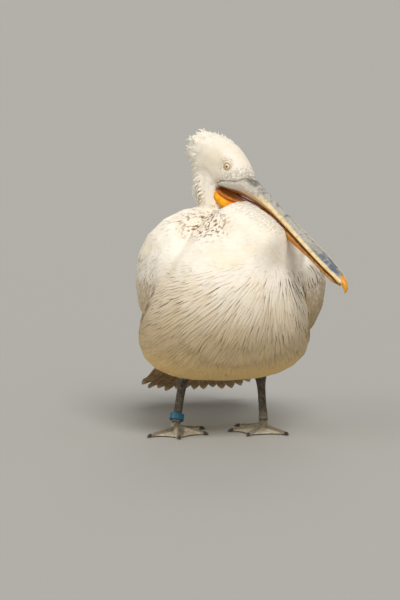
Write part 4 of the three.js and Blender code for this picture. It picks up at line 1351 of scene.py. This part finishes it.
def bill_paint():
    """Mottled grey horn, bluer towards the end, with a cream flank, a rough root and a tan edge."""
    paint = Paint("bill_horn", Roughness=0.5, Specular_IOR_Level=0.45)
    flank, run = paint.value("flank"), paint.value("run")
    fine = paint.noise(1, 4, stretch=(380, 380, 380))
    blotch = paint.noise(90, 3)
    grey = paint.over(colour(186, 182, 174), colour(154, 151, 147), paint.within(fine, 0.4, 0.64))
    grey = paint.over(grey, colour(122, 120, 120), paint.within(blotch, 0.5, 0.7))
    blue = paint.times(paint.within(run, 0.62, 0.82), paint.within(run, 0.945, 0.9))
    grey = paint.over(grey, colour(92, 103, 120), blue, paint.patches(70, 3, 0.3, 0.55))
    cream = paint.over(colour(228, 212, 172), colour(206, 180, 124), paint.within(blotch, 0.4, 0.7))
    uneven = paint.maths("MULTIPLY_ADD", paint.noise(45, 2), 0.3, flank)
    tint = paint.over(grey, cream, paint.within(uneven, 0.5, 0.72), paint.within(run, 0.16, 0.36))
    rough = paint.over(colour(206, 199, 187), colour(170, 164, 154), paint.within(fine, 0.42, 0.6))
    ridge = paint.times(paint.within(flank, 0.6, 0.25), paint.within(blotch, 0.38, 0.55))
    rough = paint.over(rough, colour(108, 104, 100), ridge)
    tint = paint.over(tint, rough, paint.within(run, 0.3, 0.12))
    edge = paint.times(paint.within(flank, 0.93, 1.02), paint.within(run, 0.05, 0.3))
    tint = paint.over(tint, colour(196, 142, 72), edge)
    # Painted shade on the upper bill's underside, which shows as the dark line of the mouth.
    tint = paint.over(tint, colour(120, 74, 44), paint.within(flank, 1.12, 1.3))
    tint = paint.over(tint, colour(216, 186, 128), paint.within(run, 0.9, 0.95), 0.7)
    relief = paint.maths("ADD", fine, paint.times(paint.noise(240, 3), 1.2))
    return paint.finish(tint, paint.within(fine, 0.0, 1.6), paint.bump(relief, 0.0008, 0.5))


def make_bill():
    grid, flank = lofted(BILL_ROWS, 300, 96)
    forward = -grid[..., 1]
    half = np.abs(grid[..., 0]).max(1, keepdims=True) + 1e-6
    across = np.abs(grid[..., 0]) / half
    upper = smoothstep(1.0, 0.8, flank)
    ridge = 1.5 * smoothstep(0.3, 0.1, across) * smoothstep(40, 90, forward) * smoothstep(402, 380, forward)
    groove = -0.9 * smoothstep(0.1, 0.0, np.abs(across - 0.42)) * smoothstep(60, 110, forward)
    groove = groove * smoothstep(396, 370, forward)
    rough = smoothstep(130, 50, forward) * smoothstep(-12, 2, forward)
    folds = 0.5 * lumps(grid * [1, 0.45, 1], 13, 3) * rough + 0.22 * lumps(grid, 5, 4) * rough
    grid[..., 2] += upper * (ridge + groove) + folds * 0.7
    grid[..., 0] += np.sign(grid[..., 0]) * folds * 0.5 * (across > 0.1)
    values = {"flank": flank, "run": forward / BILL_LENGTH}
    piece = round_piece("bill_horn_upper", from_head(grid * MM), values)
    placed(piece, bill_paint(), "bill_horn", "bill_upper")


def make_nail():
    grid, _ = lofted(NAIL_ROWS, 60, 40)
    down = smoothstep(-404, -418, grid[..., 1])
    grid[..., 1] += 3.5 * down * smoothstep(-16, -26, grid[..., 2])
    paint = Paint("nail_horn", Roughness=0.35, Specular_IOR_Level=0.5)
    tint = paint.over(colour(232, 164, 44), colour(206, 124, 30), paint.noise(160, 3))
    tint = paint.over(tint, colour(240, 206, 120), paint.value("tip"))
    material = paint.finish(tint, None, paint.bump(paint.noise(500, 2), 0.0004, 0.3))
    values = {"tip": smoothstep(-15, -25, grid[..., 2])}
    piece = round_piece("bill_nail_horn", from_head(grid * MM), values)
    placed(piece, material, "nail_horn", "bill_nail")


def make_lower_bill():
    piece = body_of("bill_rami", ["bill_lower"], 1.1 * MM, 0.15 * MM, 9)
    place = to_head(points_of(piece.data)) / MM
    marked(piece.data, "run", -place[:, 1] / BILL_LENGTH)
    paint = Paint("bill_rami", Roughness=0.45, Specular_IOR_Level=0.45)
    mottled = paint.patches(130, 3, 0.4, 0.65)
    front = paint.over(colour(206, 148, 74), colour(168, 108, 52), mottled)
    back = paint.over(colour(206, 124, 46), colour(158, 88, 38), mottled)
    tint = paint.over(back, front, paint.within(paint.value("run"), 0.2, 0.34))
    material = paint.finish(tint, None, paint.bump(paint.noise(400, 3), 0.0006, 0.4))
    placed(piece, material, "bill_rami", "bill_lower")


def make_pouch():
    """Loose creased skin, with painted shade where it joins the lower bill and in its creases."""
    grid, flank = lofted(POUCH_ROWS, 200, 96)
    loose = smoothstep(0.5, 1.2, flank)
    creases = 0.55 * np.sin(flank * 26 + 0.06 * grid[..., 1] + 2.2 * lumps(grid, 60, 8))
    creases = creases + 0.8 * lumps(grid * [1, 0.35, 1], 16, 9)
    middle = grid.mean(1, keepdims=True)
    grid = middle + (grid - middle) * (1 + creases[..., None] * loose[..., None] * 0.035)
    paint = Paint("pouch_skin", Roughness=0.65, Specular_IOR_Level=0.15, Subsurface_Weight=0.15)
    paint.shader.inputs["Subsurface Radius"].default_value = (0.004, 0.0015, 0.0006)
    flank_value = paint.value("flank")
    bright = paint.over(colour(250, 184, 40), colour(240, 146, 24), paint.patches(60, 3, 0.35, 0.7))
    # Painted shade: the top of the pouch, under the lower bill, is a deeper red-orange.
    shaded_top = paint.over(colour(222, 108, 20), colour(188, 78, 18), paint.patches(140, 3, 0.4, 0.6))
    tint = paint.over(bright, shaded_top, paint.within(flank_value, 0.8, 0.52))
    # Painted shade in the pouch's creases.
    tint = paint.over(tint, colour(222, 124, 26), paint.within(paint.value("crease"), 0.2, 0.9))
    tint = paint.over(tint, colour(206, 128, 48), paint.within(paint.value("run"), 0.14, 0.26))
    tint = paint.over(tint, colour(214, 128, 52), paint.within(flank_value, 0.5, 0.34))
    material = paint.finish(tint, None, paint.bump(paint.noise(600, 3), 0.0005, 0.4))
    values = {"flank": flank, "run": -grid[..., 1] / BILL_LENGTH, "crease": -creases * loose}
    placed(round_piece("pouch_skin", from_head(grid * MM), values), material, "pouch_skin", "pouch")


make_bill()
make_nail()
make_lower_bill()
make_pouch()

# ---- eyes ----
# In mm.
BALL = 9.2
CORNEA = 0.7  # how far the clear front stands out
IRIS_EDGE = 6.1
PUPIL_EDGE = 2.1


def eye_paint():
    paint = Paint("eye", Roughness=0.25, Coat_Weight=1.0, Coat_Roughness=0.03)
    away = paint.value("away")
    at = paint.add("CombineXYZ", "Vector", X=paint.value("turn"), Y=away)
    spokes = paint.add("TexNoise", "Fac", Vector=at, Scale=9.0)
    tint = paint.over(colour(240, 232, 204), colour(222, 208, 170), paint.within(spokes, 0.35, 0.65))
    tint = paint.over(tint, colour(190, 164, 122), paint.within(away, 5.2, 6.2))
    tint = paint.over(tint, colour(150, 112, 66), paint.within(away, 2.7, PUPIL_EDGE))
    tint = paint.over(tint, colour(22, 14, 12), paint.within(away, PUPIL_EDGE + 0.25, PUPIL_EDGE))
    tint = paint.over(tint, colour(120, 92, 68), paint.within(away, IRIS_EDGE, IRIS_EDGE + 0.3))
    return paint.finish(tint)


def make_eye(side, node, material):
    """An eyeball with a slight bulge over its iris, looking straight out of the head's side."""
    rings, turns = 72, 72
    polar = np.linspace(0, math.pi, rings)[:, None]
    turn = np.linspace(0, 2 * math.pi, turns, endpoint=False)[None]
    away = BALL * np.sin(polar) + 0 * turn
    bulge = CORNEA * smoothstep(6.4, 2.0, away) * (np.cos(polar) > 0)
    out = BALL * np.cos(polar) + bulge + 0 * turn
    grid = eye_grid(side, out, away * np.cos(turn), away * np.sin(turn))
    facing = np.where(np.cos(polar) + 0 * turn > 0, away, 9)
    values = {"away": facing, "turn": np.abs(turn - math.pi) + 0 * polar}
    placed(round_piece(node + "_ball", from_head(grid), values), material, "iris", node)


eye_material = eye_paint()
make_eye(1, "eye_left", eye_material)
make_eye(-1, "eye_right", eye_material)

# ---- claws and ring ----
claw_paint = Paint("claw_horn", Roughness=0.4, Specular_IOR_Level=0.5)
claw_tint = claw_paint.over(colour(74, 64, 54), colour(38, 33, 30), claw_paint.noise(300, 3))
claw_material = claw_paint.finish(claw_tint, None, claw_paint.bump(claw_paint.noise(900, 2), 0.0003, 0.4))
for side in ("left", "right"):
    for toe in TOES:
        node = f"claw_{side}_{toe}"
        placed(body_of(node + "_horn", [node], 0.45 * MM, 0.1 * MM, 5), claw_material, "claw", node)

ring_paint = Paint("ring_plastic", Roughness=0.38, Specular_IOR_Level=0.5)
worn = ring_paint.patches(220, 4, 0.58, 0.72)
ring_tint = ring_paint.over(colour(18, 98, 132), colour(64, 128, 148), worn)
ring_material = ring_paint.finish(ring_tint, None, ring_paint.bump(ring_paint.noise(900, 2), 0.0002, 0.3))
placed(body_of("ring_band", ["leg_ring"], 0.6 * MM, 0, 3), ring_material, "ring", "leg_ring")

# ---- camera, floor and light ----
CAMERA_AZIMUTH = math.radians(-10)
CAMERA_RISE = math.radians(7)
CAMERA_AWAY = 7.0
CAMERA_LENS = 195.35
CAMERA_AIM = (-66.65 * MM, 285.95 * MM)  # to the camera's right and up from the first origin
CAD_SHIFT = Vector((-7.278, -62.071, 0)) * MM


def make_camera():
    a, e = CAMERA_AZIMUTH, CAMERA_RISE
    back = Vector((math.sin(a) * math.cos(e), -math.cos(a) * math.cos(e), math.sin(e)))
    right = Vector((math.cos(a), math.sin(a), 0))
    up = back.cross(right)
    data = bpy.data.cameras.new("camera")
    data.lens, data.sensor_width = CAMERA_LENS, 36
    camera = new_object("camera", data)
    camera.location = right * CAMERA_AIM[0] + up * CAMERA_AIM[1] + CAD_SHIFT + back * CAMERA_AWAY
    camera.rotation_mode = "QUATERNION"
    camera.rotation_quaternion = back.to_track_quat("Z", "Y")
    data.clip_end = 200
    bpy.context.scene.camera = camera


def make_sun(name, azimuth, rise, softness, strength, tint):
    data = bpy.data.lights.new(name, "SUN")
    data.angle, data.energy, data.color = math.radians(softness), strength, tint
    light = new_object(name, data)
    a, e = math.radians(azimuth), math.radians(rise)
    back = Vector((math.sin(a) * math.cos(e), -math.cos(a) * math.cos(e), math.sin(e)))
    light.rotation_mode = "QUATERNION"
    light.rotation_quaternion = back.to_track_quat("Z", "Y")


FLOOR_HALF = 60
FLOOR_TINT = colour(168, 168, 166)
WORLD_TINT = colour(179, 177, 170)


def make_floor():
    side = FLOOR_HALF
    corners = [(-side, -side, 0), (side, -side, 0), (side, side, 0), (-side, side, 0)]
    mesh = mesh_from("floor", np.array(corners, float), np.array([[0, 1, 2, 3]]))
    floor = new_object("floor", mesh)
    paint = Paint("floor_paint", Roughness=0.95, Specular_IOR_Level=0.05)
    mesh.materials.append(paint.finish(FLOOR_TINT))
    world = bpy.data.worlds.new("studio")
    world.use_nodes = True
    world.node_tree.nodes["Background"].inputs[0].default_value = WORLD_TINT
    world.node_tree.nodes["Background"].inputs[1].default_value = 1.0
    bpy.context.scene.world = world


make_camera()
make_floor()
make_sun("key", 5, 48, 26, 2.0, (1, 0.97, 0.935))
make_sun("low", 0, 4, 60, 0.45, (1, 0.96, 0.88))
make_sun("fill", -75, 22, 40, 0.65, (1, 0.95, 0.85))
make_sun("rim", 165, 35, 25, 0.5, (1, 0.98, 0.95))
bpy.context.scene.view_settings.view_transform = "Standard"
